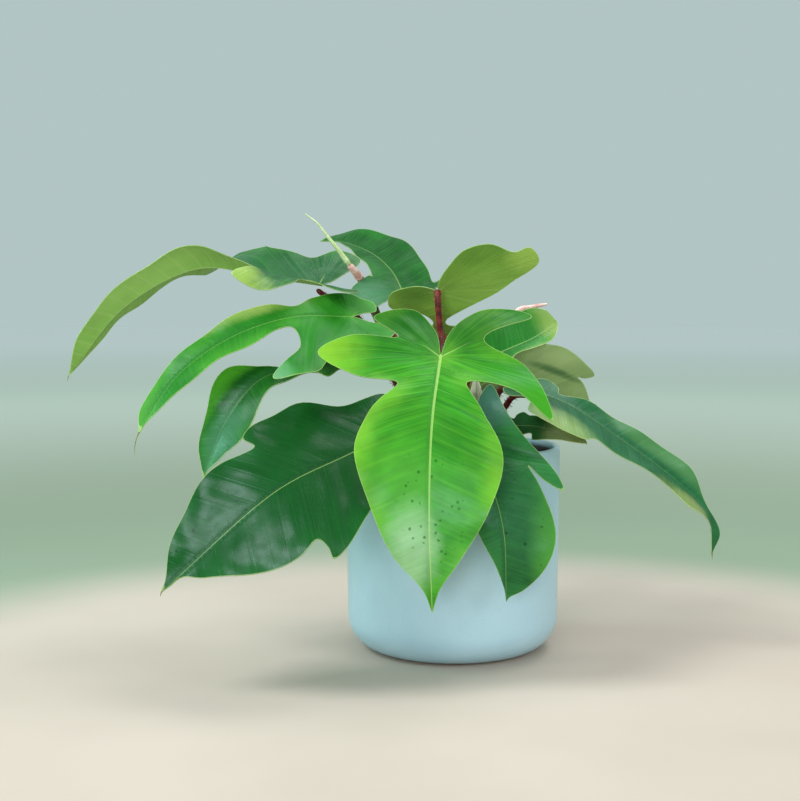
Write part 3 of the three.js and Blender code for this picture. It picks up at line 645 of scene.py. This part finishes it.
def flat_half(points, length):
    """One half of a blade laid flat: vertices, triangles, and what is known at each vertex.

    That is the distance from the margin, the number of the side vein, the distance from the nearer lobe's
    rib, and how far along that rib. The points spread over a rectangle, and those outside the margin drop
    out because no triangle uses them.
    """
    margin = spline([[0, 0], *points, [0, length]], MARGIN_SAMPLES)
    margin[1:-1, 0] = np.maximum(margin[1:-1, 0], MIDRIB_CLEARANCE)
    midrib = np.linspace(length, 0, int(length / RIB_STEP) + 1)[1:-1]
    contour = np.vstack([margin, np.stack([np.zeros_like(midrib), midrib], 1)])
    low, high = contour.min(0), contour.max(0)
    columns = np.arange(low[0], high[0], GRID)
    rows = np.arange(low[1], high[1], GRID * math.sqrt(0.75))
    inner = np.array([(x + (i % 2) * GRID / 2, y) for i, y in enumerate(rows) for x in columns])
    distance, _, _ = to_segments(inner, contour, np.roll(contour, -1, axis=0))
    inner = inner[distance.min(1) > GRID * 0.55]

    lobe_tips = np.array([points[i] for i in LOBE_POINTS], float)
    lobe_starts = np.array([[0, share * length] for share in LOBE_ROOTS])
    ribs, edges = [], []
    for start, tip in zip(lobe_starts, lobe_tips):
        count = max(int(np.linalg.norm(tip - start) * LOBE_RIB_SHARE / RIB_STEP), 2)
        first = len(contour) + len(ribs)
        ribs += list(start + (tip - start) * np.linspace(0, LOBE_RIB_SHARE, count + 1)[1:, None])
        edges += [(k, k + 1) for k in range(first, first + count - 1)]
    ribs = np.array(ribs)
    inner = inner[np.linalg.norm(inner[:, None] - ribs, axis=-1).min(1) > GRID * 0.5]

    flat = [Vector(point) for point in (*contour, *ribs, *inner)]
    flat, _, faces, *_ = delaunay_2d_cdt(flat, edges, [list(range(len(contour)))], 1, 1e-6)
    used, triangles = np.unique([face for face in faces if len(face) == 3], return_inverse=True)
    triangles = triangles.reshape(-1, 3)
    flat = np.array([tuple(point) for point in flat])[used]

    edge = to_segments(flat, margin[:-1], margin[1:])[0].min(1)
    lobe_distance, lobe_way, _ = to_segments(flat, lobe_starts, lobe_tips)
    lobe = (lobe_distance / (0.25 + 0.75 * (1 - lobe_way))).min(1)
    nearer = lobe_distance.argmin(1)
    lobe_way = lobe_way[np.arange(len(flat)), nearer] + 0.3 * nearer
    return flat, triangles, np.stack([edge, vein_numbers(flat, margin, length), lobe, lobe_way], 1)


def vein_numbers(flat, margin, length):
    """The number of the side vein at each point, with fractions between one vein and the next."""
    roots = np.clip(margin[:, 1] - VEIN_SWEEP * margin[:, 0], 0, length)
    roots[:FOOT_POINTS * MARGIN_SAMPLES] = 0
    roots = np.maximum.accumulate(roots)
    roots = np.clip(roots + ROOT_STEP * np.arange(len(roots)), 0, length)
    starts = np.stack([np.zeros_like(roots), roots], 1)[1:-1]
    distance, _, side = to_segments(flat, starts, margin[1:-1])
    nearest = distance.argmin(1)
    each = np.arange(len(flat))
    here = side[each, nearest]
    neighbour = np.clip(nearest + np.sign(here).astype(int), 0, len(starts) - 1)
    there = side[each, neighbour]
    shift = np.clip(np.abs(here) / np.maximum(np.abs(here) + np.abs(there), 1e-6), 0, 1)
    return (nearest + 1 + (neighbour - nearest) * shift) / MARGIN_SAMPLES


def flat_blade(leaf, length):
    """Both halves laid flat and joined along the midrib, with the right half's distances across positive."""
    places, facts, triangles, on_midrib = [], [], [], {}
    for sign, half in ((-1, leaf["left"]), (1, leaf["right"])):
        flat, faces, half_facts = flat_half(half, length)
        index = []
        for (across, along), fact in zip(flat, half_facts):
            key = round(float(along), 2) if across < 1e-6 else None
            if key in on_midrib:
                index.append(on_midrib[key])
                continue
            index.append(len(places))
            if key is not None:
                on_midrib[key] = len(places)
            places.append((sign * across, along))
            facts.append(fact * (1, sign, 1, 1))
        index = np.array(index)[faces]
        triangles.append(index if sign > 0 else index[:, ::-1])
    return *np.array(places).T, *np.array(facts).T, np.vstack(triangles)


def make_blade(name, leaf, choice):
    surface = Surface(leaf)
    across, along, edge, vein, lobe, lobe_way, triangles = flat_blade(leaf, surface.length)
    middle = surface.points(across, along)
    normals = vertex_normals(middle, triangles)

    seed = list(LEAVES).index(name)
    outward = np.abs(across)
    near_margin = smoothstep(edge, WAVE_REACH, 0) * smoothstep(outward, 2, 12)
    wave = choice["wave"] * near_margin * np.sin(along / WAVE_RUN + 1.7 * seed + 2 * np.sign(across))
    wave += SWELL_HEIGHT * smoothstep(outward, 1, 15) * wander(middle, SWELL_SIZE, seed)
    quilt = QUILT_HEIGHT * np.cos(FULL_TURN * QUILTS_PER_ROW * vein)
    quilt = quilt * smoothstep(outward, 1, 9) * smoothstep(edge, 0, 8)
    middle = middle + normals * (wave + quilt)[:, None]
    normals = vertex_normals(middle, triangles)

    way = np.clip(along / surface.length, 0, 1)
    rib = np.hypot(across, np.minimum(along, 0))
    width = RIB_WIDTH * (1 - RIB_TAPER * way)
    ridge = RIB_DEPTH * smoothstep(rib, width, 0) * (1 - RIB_FLATTENING * way)
    groove = GROOVE_DEPTH * smoothstep(rib, width * GROOVE_WIDTH, 0)
    top = middle + normals * (HALF_THICKNESS - groove)[:, None]
    under = middle - normals * (HALF_THICKNESS + ridge)[:, None]
    vertices, faces, kinds = sheet_mesh(top, under, triangles)
    rib = rib / np.maximum(width, 0.1)
    facts = on_both_sides(
        edge=edge, vein=vein, rib=rib, lobe=lobe, lobe_way=lobe_way, across=across, span=along,
    )
    looks = [top_look(name, choice), under_look(name, choice)]
    add_piece(f"blade_{name}", vertices, faces, looks, [f"leaf_{name}"], kinds, 50, facts)


def streaks(look, strength):
    """Streaks that run along the side veins, sharper where the strength is high, and the fine ones alone."""
    vein, edge = look.attribute("vein"), look.attribute("edge")
    fine = look.noise(look.vector(look.times(vein, 5), look.times(edge, 0.012), 0), 3.2, 4)
    broad = look.noise(look.vector(look.times(vein, 1.1), look.times(edge, 0.03), 4), 1.6, 2)
    both = look.plus(look.times(fine, 0.55), look.times(broad, 0.45))
    reach = 0.2 / max(strength, 0.2)
    return look.smooth(both, 0.5 - reach, 0.5 + reach), fine


def side_veins(look):
    """A ridge along every side vein: 1 on the vein and 0 between two veins."""
    turn = look.times(look.attribute("vein"), FULL_TURN * VEINS_PER_ROW)
    return look.smooth(look.node("Math", [turn], operation="SINE").outputs[0], 0.72, 1)


def ribs_on(look, tint, pale, strength, margin, slimness):
    """The midrib, the two lobe ribs that fade out, and the thin margin, over a blade's own colour."""
    mid = look.smooth(look.attribute("rib"), 0.62 / slimness, 0.3 / slimness, 0, strength)
    lobe_fade = look.smooth(look.attribute("lobe_way"), 0.38, 0.02, 0, 0.8 * strength)
    lobe = look.times(look.smooth(look.attribute("lobe"), 0.7, 0.2), lobe_fade)
    tint = look.mix(look.greater(mid, lobe), tint, colour(pale))
    return look.mix(look.smooth(look.attribute("edge"), 0.5, 0.15, 0, margin), tint, colour(PALE_MARGIN))


def from_middle(look, middle, reach):
    """The squared distance from a place across and along the blade, 1 on the ellipse of that reach."""
    squares = []
    for key, centre, size in zip(("across", "span"), middle, reach):
        part = look.times(look.plus(look.attribute(key), -centre), 1 / size)
        squares.append(look.times(part, part))
    return look.plus(*squares)


def drops_on(look, tint, middle, reach, dark, sparseness):
    """Small dark drops inside one region of a blade, thinned out by noise."""
    region = look.smooth(from_middle(look, middle, reach), 1, 0.5)
    cells = look.node("TexVoronoi", {"Vector": look.place(), "Scale": 230}).outputs["Distance"]
    drops = look.smooth(cells, 0.28, 0.16)
    chosen = look.smooth(look.grain(95, 2), sparseness, sparseness + 0.04)
    marked = look.times(look.times(drops, chosen), region)
    return look.mix(look.times(marked, 0.7), tint, colour(dark))


def zones_on(look, tint, zones, fine):
    """Soft, ragged patches of other colours, some of them painted sheen, painted shade or painted light
    shining through the blade.
    """
    ragged = look.plus(look.grain(60), fine)
    for across, along, wide, long, patch, strength in zones:
        squares = from_middle(look, (across, along), (wide, long))
        nearness = look.plus(squares, look.times(ragged, 1.1))
        tint = look.mix(look.smooth(nearness, 2.8, 0.7, 0, strength), tint, colour(patch))
    return tint


def top_look(name, choice):
    look = Look(f"upper_{name}", IOR=1.45, Specular_IOR_Level=choice["gloss"], Coat_Weight=0.05)
    look.put("Specular Tint", colour("#c9e2f2"))
    look.put("Coat Roughness", choice["rough"] - 0.1)
    streaked, fine = streaks(look, choice["streaks"])
    veins = side_veins(look)
    green = look.mix(streaked, colour(choice["deep"]), colour(choice["light"]))
    green = look.mix(look.times(veins, 0.12 * choice["streaks"]), green, colour(choice["tint"]))
    near_edge = look.smooth(look.attribute("edge"), 14, 0)
    patches = look.smooth(look.grain(22), 0.35, 0.7)
    tinting = look.times(patches, look.plus(near_edge, 0.25))
    green = look.mix(look.times(tinting, choice["tinting"]), green, colour(choice["tint"]))
    green = zones_on(look, green, ZONES.get(name, []), fine)
    if name in DROPS:
        green = drops_on(look, green, *DROPS[name])
    green = ribs_on(look, green, PALE_RIB, choice["midrib"], choice["margin"], choice["slimness"])
    look.put("Base Color", green)
    look.rough(look.grain(160, 4), choice["rough"] - 0.04, choice["rough"] + 0.08)
    look.bump(veins, -0.12, 0.5)
    look.bump(fine, 0.13, 0.5)
    look.bump(look.grain(330), 0.14, 0.6)
    look.bump(look.grain(900, 2), 0.05, 0.6)
    return look


def under_look(name, choice):
    look = Look(f"lower_{name}", IOR=1.4, Specular_IOR_Level=0.25)
    streaked, fine = streaks(look, 0.7)
    veins = side_veins(look)
    bright = colour(choice["under"])
    dim = [0.8 * c for c in bright[:3]] + [1]
    green = look.mix(look.times(veins, 0.12), look.mix(streaked, dim, bright), colour("#b9cf86"))
    green = zones_on(look, green, UNDER_ZONES.get(name, []), fine)
    look.put("Base Color", ribs_on(look, green, PALE_UNDER_RIB, 0.6, 0.5, 1.5))
    look.rough(look.grain(120), 0.5, 0.62)
    look.bump(veins, 0.2, 0.5)
    look.bump(fine, 0.2, 0.6)
    return look


def ring_frames(points):
    """Directions across a path that turn with it as little as they can."""
    forward = unit(np.gradient(points, axis=0))
    side = unit(np.cross(forward[0], [0.3, 1, 0.2]))
    sides = []
    for step in forward:
        side = unit(side - step * np.dot(side, step))
        sides.append(side)
    sides = np.array(sides)
    return forward, sides, np.cross(forward, sides)


def even_path(points, step):
    """Points at even distances on the curve through the given ones, and how far along it they are."""
    curve = spline(points, 40)
    at = lengths_along(curve)
    steps = np.linspace(0, at[-1], max(int(at[-1] / step), 4) + 1)
    return between(steps, at, curve), steps


def ring_quads(first, rings, sides):
    """Quads between rings of vertices that follow one another, from the first vertex on."""
    starts = [first + i * sides for i in range(rings - 1)]
    pairs = [(start + k, start + (k + 1) % sides) for start in starts for k in range(sides)]
    return [(a, b, b + sides, a + sides) for a, b in pairs]


def tube_mesh(path, radii, sides):
    """A closed round tube, with one radius for each point of its path."""
    _, side, rise = ring_frames(path)
    angle = FULL_TURN * np.arange(sides) / sides
    ring = np.cos(angle)[:, None] * side[:, None] + np.sin(angle)[:, None] * rise[:, None]
    vertices = (path[:, None] + ring * np.asarray(radii)[:, None, None]).reshape(-1, 3)
    lid = tuple(range(len(vertices) - sides, len(vertices)))
    return vertices, [*ring_quads(0, len(path), sides), tuple(range(sides - 1, -1, -1)), lid]


def hair_look(name, scale, dark, light):
    look = Look(name, IOR=1.4, Roughness=0.5)
    look.put("Base Color", look.two_tone(look.grain(scale, 2), 0.35, 0.65, dark, light))
    return look


def make_tail(name, length):
    """The thin hair at a blade's tip, which bends from the midrib's direction down."""
    surface = Surface(LEAVES[name])
    tip, forward, _, _ = surface.frame_at(surface.length)
    down = np.array([0.0, 0.0, -1.0])
    steps = np.linspace(0, 1, 14)[:, None]
    path = tip - forward + length * (forward * steps * (1 - 0.6 * steps) + down * steps**1.6 * 0.75)
    vertices, faces = tube_mesh(path, np.linspace(TAIL_RADIUS, TAIL_END_RADIUS, len(path)), 6)
    look = hair_look(f"tail_{name}", 300, "#6f7340", "#98a05c")
    add_piece(f"tail_{name}", vertices, faces, [look])


BRISTLE_FACES = [(0, 1, 4, 3), (3, 4, 6), (1, 2, 5, 4), (4, 5, 6), (2, 0, 3, 5), (5, 3, 6), (2, 1, 0)]


def bristle(root, outward, forward, length, droop):
    """The vertices of a soft bristle with three sides that curves towards the blade and ends in a point."""
    across = unit(np.cross(outward, forward))
    angles = (0, FULL_TURN / 3, FULL_TURN * 2 / 3)
    ways = [math.cos(angle) * across + math.sin(angle) * forward for angle in angles]
    foot, knee = root - outward * 0.4, root + outward * length * 0.5
    tip = root + (outward * 0.9 + forward * droop) * length
    rings = ((foot, BRISTLE_ROOT_RADIUS), (knee, BRISTLE_ROOT_RADIUS * 0.7))
    return [*(middle + radius * way for middle, radius in rings for way in ways), tip]


def make_stalk(name, leaf, seed, looks):
    """A stalk from its hole in the soil to the foot of its blade, with its bristles."""
    place, forward, up, _ = Surface(leaf).frame_at(0.0)
    end = place + JOINT_ADVANCE * forward - JOINT_DEPTH * up
    approach = end - BEND_BACK * forward - BEND_DOWN * up
    base, *way = (np.array(point, float) for point in leaf["stalk"])
    foot = base + (0, 0, FOOT_CLEARANCE - HOLE_DEPTH)
    path, at = even_path([foot, base + (0, 0, 3), *way, approach, end], STALK_STEP)
    length = at[-1]
    radii = STALK_FOOT_RADIUS + (STALK_RADIUS - STALK_FOOT_RADIUS) * at / length
    radii = radii * (1 + STALK_UNEVENNESS * np.sin(at / 5 + seed))
    radii = radii * (1 - 0.55 * smoothstep(at, length - 2, length))
    vertices, faces = (list(parts) for parts in tube_mesh(path, radii, STALK_SIDES))
    kinds = [0] * len(faces)
    ways, side, rise = ring_frames(path)
    random = np.random.default_rng(seed)
    bristly = length - BARE_FOOT - BARE_NECK
    count = int(bristly * BRISTLES_PER_MM)
    for i in range(count):
        where = BARE_FOOT + bristly * (i + random.random()) / count
        k = int(where / length * (len(path) - 1))
        angle = BRISTLE_TURN * i + random.normal(0, 0.5)
        outward = math.cos(angle) * side[k] + math.sin(angle) * rise[k]
        size = random.uniform(*BRISTLE_LENGTHS) * (1 - 0.4 * smoothstep(where, length - 25, length))
        root = path[k] + outward * radii[k]
        faces += [tuple(len(vertices) + corner for corner in face) for face in BRISTLE_FACES]
        kinds += [1] * len(BRISTLE_FACES)
        vertices += bristle(root, outward, ways[k], size, random.uniform(*BRISTLE_DROOPS))
    add_piece(f"bristly_stalk_{name}", vertices, faces, looks, [f"stalk_{name}"], kinds)


def stalk_look():
    look = Look("stalk_skin", IOR=1.4)
    grain = look.grain(260)
    red = look.two_tone(grain, 0.4, 0.65, "#4a0d11", "#7c2420")
    brown = look.smooth(look.grain(40, 2), 0.5, 0.72, 0, 0.6)
    look.put("Base Color", look.mix(brown, red, colour("#6b5a2a")))
    look.rough(grain, 0.38, 0.55)
    look.bump(grain, 0.25, 0.7)
    return look


def climber_look(name, dark, light, roughness):
    look = Look(name, IOR=1.42)
    grain = look.grain(300, 4)
    broad = look.grain(60, 2)
    both = look.plus(look.times(grain, 0.5), look.times(broad, 0.5))
    look.put("Base Color", look.two_tone(both, 0.38, 0.62, dark, light))
    look.rough(grain, roughness - 0.06, roughness + 0.08)
    look.bump(grain, 0.3, 0.6)
    return look


def make_climber(way, pieces, looks):
    """A stem and what it carries, one tube after another along the same way."""
    foot = np.array(way[0], float) + (0, 0, FOOT_CLEARANCE - HOLE_DEPTH)
    path, at = even_path([foot, *way], 1)
    start = 0
    for name, slot, end, low_radius, high_radius in pieces:
        chosen = (at >= start * at[-1]) & (at <= end * at[-1])
        way_on = (at[chosen] - at[chosen][0]) / (at[chosen][-1] - at[chosen][0])
        radii = low_radius + (high_radius - low_radius) * way_on
        radii = radii * (1 + 0.04 * np.sin(at[chosen] / 3.2))
        rounding = smoothstep(way_on, 0, 0.06) * smoothstep(way_on, 1, 0.94)
        radii = radii * (0.8 + 0.2 * rounding)
        vertices, faces = tube_mesh(path[chosen], radii, CLIMBER_SIDES)
        add_piece(f"{name}_fine", vertices, faces, [looks[slot]], [name])
        start = end


def scale_look():
    look = Look("papery_scale", IOR=1.4)
    way = look.vector(look.times(look.attribute("across"), 2.4), look.attribute("along"), 0)
    lines = look.noise(way, 1.5)
    tint = look.two_tone(lines, 0.35, 0.65, "#f4f1cf", "#fffdf0")
    green = look.smooth(look.attribute("along"), 0.5, 0, 0, 0.3)
    look.put("Base Color", look.mix(green, tint, colour("#9fae6a")))
    look.rough(lines, 0.55, 0.7)
    look.bump(lines, 0.3, 0.8)
    return look


def make_scale():
    """The dry scale leaf: a folded, crinkled sheet that narrows to both ends."""
    surface = Surface(dict(rib=SCALE_RIB, up=[[0, -1, 0.2]], fold=[SCALE_FOLD] * 3, curl=[SCALE_CURL] * 3))
    row, column = np.meshgrid(
        np.arange(SCALE_ROWS + 1), np.arange(-SCALE_COLUMNS, SCALE_COLUMNS + 1), indexing="ij",
    )
    fraction = row / SCALE_ROWS
    half_width = SCALE_HALF_WIDTH * np.maximum(np.sin(math.pi * (0.04 + 0.94 * fraction)), 0.01) ** 0.8
    across = (half_width * column / SCALE_COLUMNS).ravel()
    middle = surface.points(across, (fraction * surface.length).ravel())
    width = 2 * SCALE_COLUMNS + 1
    index = (row * width + column + SCALE_COLUMNS)[:-1, :-1].ravel()
    triangles = np.vstack([
        np.stack([index, index + 1, index + width + 1], 1),
        np.stack([index, index + width + 1, index + width], 1),
    ])
    normals = vertex_normals(middle, triangles)
    middle = middle + normals * (SCALE_CRINKLE * wander(middle, 6, 3))[:, None]
    half = SCALE_HALF_THICKNESS * normals
    vertices, faces, _ = sheet_mesh(middle + half, middle - half, triangles)
    facts = on_both_sides(across=across, along=fraction.ravel())
    look = scale_look()
    add_piece("papery_scale_leaf", vertices, faces, [look], ["sheath_cream"], facts=facts)


def on_circle(radius, angle):
    return radius * math.cos(angle), radius * math.sin(angle)


def arc(centre, height, radius, start, end, count):
    turns = (on_circle(radius, angle) for angle in np.radians(np.linspace(start, end, count)))
    return [(centre + x, height + y) for x, y in turns]


def lathe(profile, sides):
    """A solid of revolution whose profile starts and ends on the axis."""
    angles = FULL_TURN * np.arange(sides) / sides
    rings = [(*on_circle(radius, angle), height) for radius, height in profile[1:-1] for angle in angles]
    vertices = [(0, 0, profile[0][1]), *rings, (0, 0, profile[-1][1])]
    around = [(k, (k + 1) % sides) for k in range(sides)]
    last = len(vertices) - 1 - sides
    foot_fan = [(0, 1 + b, 1 + a) for a, b in around]
    top_fan = [(last + a, last + b, len(vertices) - 1) for a, b in around]
    return vertices, [*foot_fan, *ring_quads(1, len(profile) - 2, sides), *top_fan]


def glaze_look():
    """Cloudy blue glaze, its inner wall darkened to dark brown as painted shade, and bare clay on the foot
    ring.
    """
    look = Look("blue_glaze", IOR=1.5, Coat_Weight=0.35, Coat_Roughness=0.3)
    cloudy = look.grain(14)
    fine = look.grain(700)
    glaze = look.two_tone(cloudy, 0.35, 0.65, "#a3c5d3", "#aecedb")
    glaze = look.mix(look.smooth(fine, 0.55, 0.75, 0, 0.25), glaze, colour("#86b4c4"))
    x, y, height = look.node("SeparateXYZ", [look.place()]).outputs
    from_axis = look.node("VectorMath", [look.vector(x, y, 0)], operation="LENGTH").outputs["Value"]
    # Painted shade: inside the wall, from a little below the rim down to above the foot's rounding, the glaze
    # turns dark brown
    inside = look.smooth(from_axis, (POT_RADIUS - 2.4) * MM, (POT_RADIUS - 3.6) * MM)
    below_rim = look.smooth(height, (POT_HEIGHT - 1.5) * MM, (POT_HEIGHT - 5) * MM)
    above_foot = look.smooth(height, (FOOT_ROUNDING + 2) * MM, (FOOT_ROUNDING + 6) * MM)
    painted_inner_shade = look.times(inside, look.times(below_rim, above_foot))
    glaze = look.mix(painted_inner_shade, glaze, colour("#2a221c"))
    clay = look.smooth(height, 2.6 * MM, 0.6 * MM)
    look.put("Base Color", look.mix(clay, glaze, colour("#7d776c")))
    look.rough(fine, 0.36, 0.46)
    look.bump(fine, 0.05, 0.4)
    look.bump(cloudy, 0.6, 0.3)
    return look


def make_pot():
    lower = POT_LOWER_RADIUS - FOOT_ROUNDING
    inner = FOOT_ROUNDING - WALL
    rim = POT_HEIGHT - RIM_ROUNDING
    outside = np.linspace((POT_LOWER_RADIUS, FOOT_ROUNDING), (POT_RADIUS, rim), 24)[1:-1]
    inside = np.linspace((POT_RADIUS - WALL, rim), (POT_LOWER_RADIUS - WALL, FLOOR + inner), 12)[1:-1]
    profile = [
        (0, FOOT_HOLLOW), (lower - 3, FOOT_HOLLOW), (lower - 1.6, 0.2), (lower - 0.8, 0),
        *arc(lower, FOOT_ROUNDING, FOOT_ROUNDING, -90, 0, 20), *outside,
        *arc(POT_RADIUS - RIM_ROUNDING, rim, RIM_ROUNDING, 0, 90, 8),
        *arc(POT_RADIUS - WALL + RIM_ROUNDING, rim, RIM_ROUNDING, 90, 180, 8), *inside,
        *arc(lower, FLOOR + inner, inner, 0, -90, 14), (0, FLOOR),
    ]
    vertices, faces = lathe(profile, POT_SIDES)
    add_piece("glazed_pot", vertices, faces, [glaze_look()], ["pot"], sharp=60)


def soil_look():
    look = Look("potting_soil")
    grain = look.grain(420, 5, 0.7)
    broad = look.grain(90)
    dark = look.two_tone(grain, 0.4, 0.68, "#100c09", "#3c2c20")
    look.put("Base Color", look.mix(look.smooth(broad, 0.62, 0.75, 0, 0.55), dark, colour("#5e4c38")))
    look.rough(grain, 0.85, 0.98)
    look.bump(grain, 0.8, 0.9)
    return look


def soil_height(radius):
    return SOIL_MIDDLE_Z + (SOIL_EDGE_Z - SOIL_MIDDLE_Z) * (radius / SOIL_REACH) ** 2


def soil_body():
    """A crumbly surface over a plain closed body."""
    vertices = []
    angles = [FULL_TURN * k / SOIL_SIDES for k in range(SOIL_SIDES)]
    for i in range(SOIL_RINGS + 1):
        radius = SOIL_REACH * i / SOIL_RINGS
        for angle in angles if i else angles[:1]:
            x, y = on_circle(radius, angle)
            lumps = noise.noise(Vector((x / LUMP_SIZE, y / LUMP_SIZE, 1)))
            grit = abs(noise.noise(Vector((x / GRIT_SIZE, y / GRIT_SIZE, 4))))
            height = soil_height(radius) - RELIEF_SINK + LUMP_HEIGHT * lumps + GRIT_HEIGHT * grit
            vertices.append((x, y, height))
    vertices += [(*on_circle(SOIL_REACH, angle), SOIL_EDGE_Z - SOIL_DEPTH) for angle in angles]
    fan = [(0, 1 + k, 1 + (k + 1) % SOIL_SIDES) for k in range(SOIL_SIDES)]
    quads = [(a, d, c, b) for a, b, c, d in ring_quads(1, SOIL_RINGS + 1, SOIL_SIDES)]
    base = tuple(reversed(range(len(vertices) - SOIL_SIDES, len(vertices))))
    return vertices, [*fan, *quads, base]


def make_soil():
    """The soil, with loose uneven crumbs of eight faces sunk into it."""
    vertices, faces = soil_body()
    random = np.random.default_rng(5)
    axes = np.array([(1, 0, 0), (-1, 0, 0), (0, 1, 0), (0, -1, 0), (0, 0, 1), (0, 0, -1)], float)
    for _ in range(CRUMB_COUNT):
        radius = (SOIL_REACH - 2) * math.sqrt(random.random())
        centre = np.array([*on_circle(radius, random.uniform(0, FULL_TURN)), soil_height(radius)])
        size = random.uniform(*CRUMB_SIZES)
        corners = unit(axes + random.normal(0, CRUMB_UNEVENNESS, axes.shape)) * size
        corners = corners * random.uniform(*CRUMB_STRETCHES, 3)
        start = len(vertices)
        vertices += [tuple(centre + corner) for corner in corners]
        for a, b in ((0, 2), (2, 1), (1, 3), (3, 0)):
            faces += [(start + a, start + b, start + 4), (start + b, start + a, start + 5)]
    add_piece("crumbly_soil", vertices, faces, [soil_look()], ["soil"], sharp=30)


for leaf_name, leaf_values in LEAVES.items():
    make_blade(leaf_name, leaf_values, LOOKS[leaf_name])
for leaf_name, tail_length in TAILS.items():
    make_tail(leaf_name, tail_length)
stalk_looks = [stalk_look(), hair_look("bristles", 420, "#5d1016", "#a8443a")]
for leaf_number, (leaf_name, leaf_values) in enumerate(LEAVES.items()):
    make_stalk(leaf_name, leaf_values, leaf_number + 1, stalk_looks)
climber_looks = {
    "stem": climber_look("stem_skin", "#3b3a1e", "#6f7a3c", 0.6),
    "sheath_pink": climber_look("pink_sheath", "#d69890", "#f2cdc3", 0.45),
    "leaf_rolled": climber_look("rolled_leaf", "#b2c684", "#d6dfb4", 0.4),
}
for climber_way, climber_pieces in CLIMBERS:
    make_climber(climber_way, climber_pieces, climber_looks)
make_scale()
make_pot()
make_soil()

# The stage, in metres: a wide flat floor, sand round a middle a little towards the camera, then pale sage,
# then white, with the distances between which each one turns into the next
FLOOR_RADIUS = 9
FLOOR_SIDES = 64
SAND_MIDDLE = (0, -0.12, 0)
SAND_REACH = (0.33, 0.5)
SAGE_REACH = (0.6, 2.4)
WHITE_REACH = (2, 6)


def make_floor():
    mesh = bpy.data.meshes.new("floor")
    corners = [(*on_circle(FLOOR_RADIUS, FULL_TURN * k / FLOOR_SIDES), 0) for k in range(FLOOR_SIDES)]
    mesh.from_pydata(corners, [], [list(range(FLOOR_SIDES))])
    look = Look("pale_floor", Roughness=0.9, Specular_IOR_Level=0.1)
    away = look.node("VectorMath", (look.place(), SAND_MIDDLE), operation="DISTANCE").outputs["Value"]
    sand = look.two_tone(look.grain(4), 0.3, 0.7, "#bcaea2", "#c4b6aa")
    sage = look.two_tone(away, *SAGE_REACH, "#8b9a85", "#e4ecdf")
    sage = look.mix(look.smooth(away, *WHITE_REACH), sage, colour("#ffffff"))
    look.put("Base Color", look.mix(look.smooth(away, *SAND_REACH), sand, sage))
    mesh.materials.append(look.material)
    floor = bpy.data.objects.new("floor", mesh)
    bpy.context.scene.collection.objects.link(floor)


make_floor()

# Lights: place, the height above the foot's middle that each shines at, size, power, tint, spread in degrees
LIGHTS = {
    "key": ((-0.95, -0.55, 1.3), 0.15, 0.55, 18, (0.97, 0.99, 1), 180),
    "overhead": ((0.5, 0.35, 1.45), 0.15, 0.9, 11, (1, 1, 1), 180),
    "front_low": ((-0.35, -1.7, 0.45), 0.14, 0.5, 1.3, (1, 1, 1), 60),
    "left_edge": ((-1.15, 0.2, 0.5), 0.12, 0.4, 0.5, (0.45, 1, 0.95), 60),
    "right": ((1.1, -1.0, 0.75), 0.1, 0.5, 6, (0.95, 0.99, 1), 180),
}
for light_name, (place, height, size, power, tint, spread) in LIGHTS.items():
    lamp = bpy.data.lights.new(light_name, "AREA")
    lamp.size = size
    lamp.energy = power
    lamp.color = tint
    lamp.spread = math.radians(spread)
    light = bpy.data.objects.new(light_name, lamp)
    light.location = place
    light.rotation_euler = (Vector((0, 0, height)) - Vector(place)).to_track_quat("-Z", "Y").to_euler()
    bpy.context.scene.collection.objects.link(light)

SKY_COLOUR = "#bfd4d3"
SKY_STRENGTH = 0.85
world = bpy.data.worlds.new("world")
bpy.context.scene.world = world
world.use_nodes = True
world.node_tree.nodes["Background"].inputs["Color"].default_value = colour(SKY_COLOUR)
world.node_tree.nodes["Background"].inputs["Strength"].default_value = SKY_STRENGTH

camera_data = bpy.data.cameras.new("camera")
camera_data.lens = CAMERA_LENS
camera_data.sensor_width = CAMERA_SENSOR
camera = bpy.data.objects.new("camera", camera_data)
camera.location = Vector(CAMERA_PLACE) * MM
camera.rotation_euler = (math.pi / 2 - CAMERA_TILT, 0, 0)
bpy.context.scene.collection.objects.link(camera)
bpy.context.scene.camera = camera
bpy.context.scene.view_settings.view_transform = "Standard"
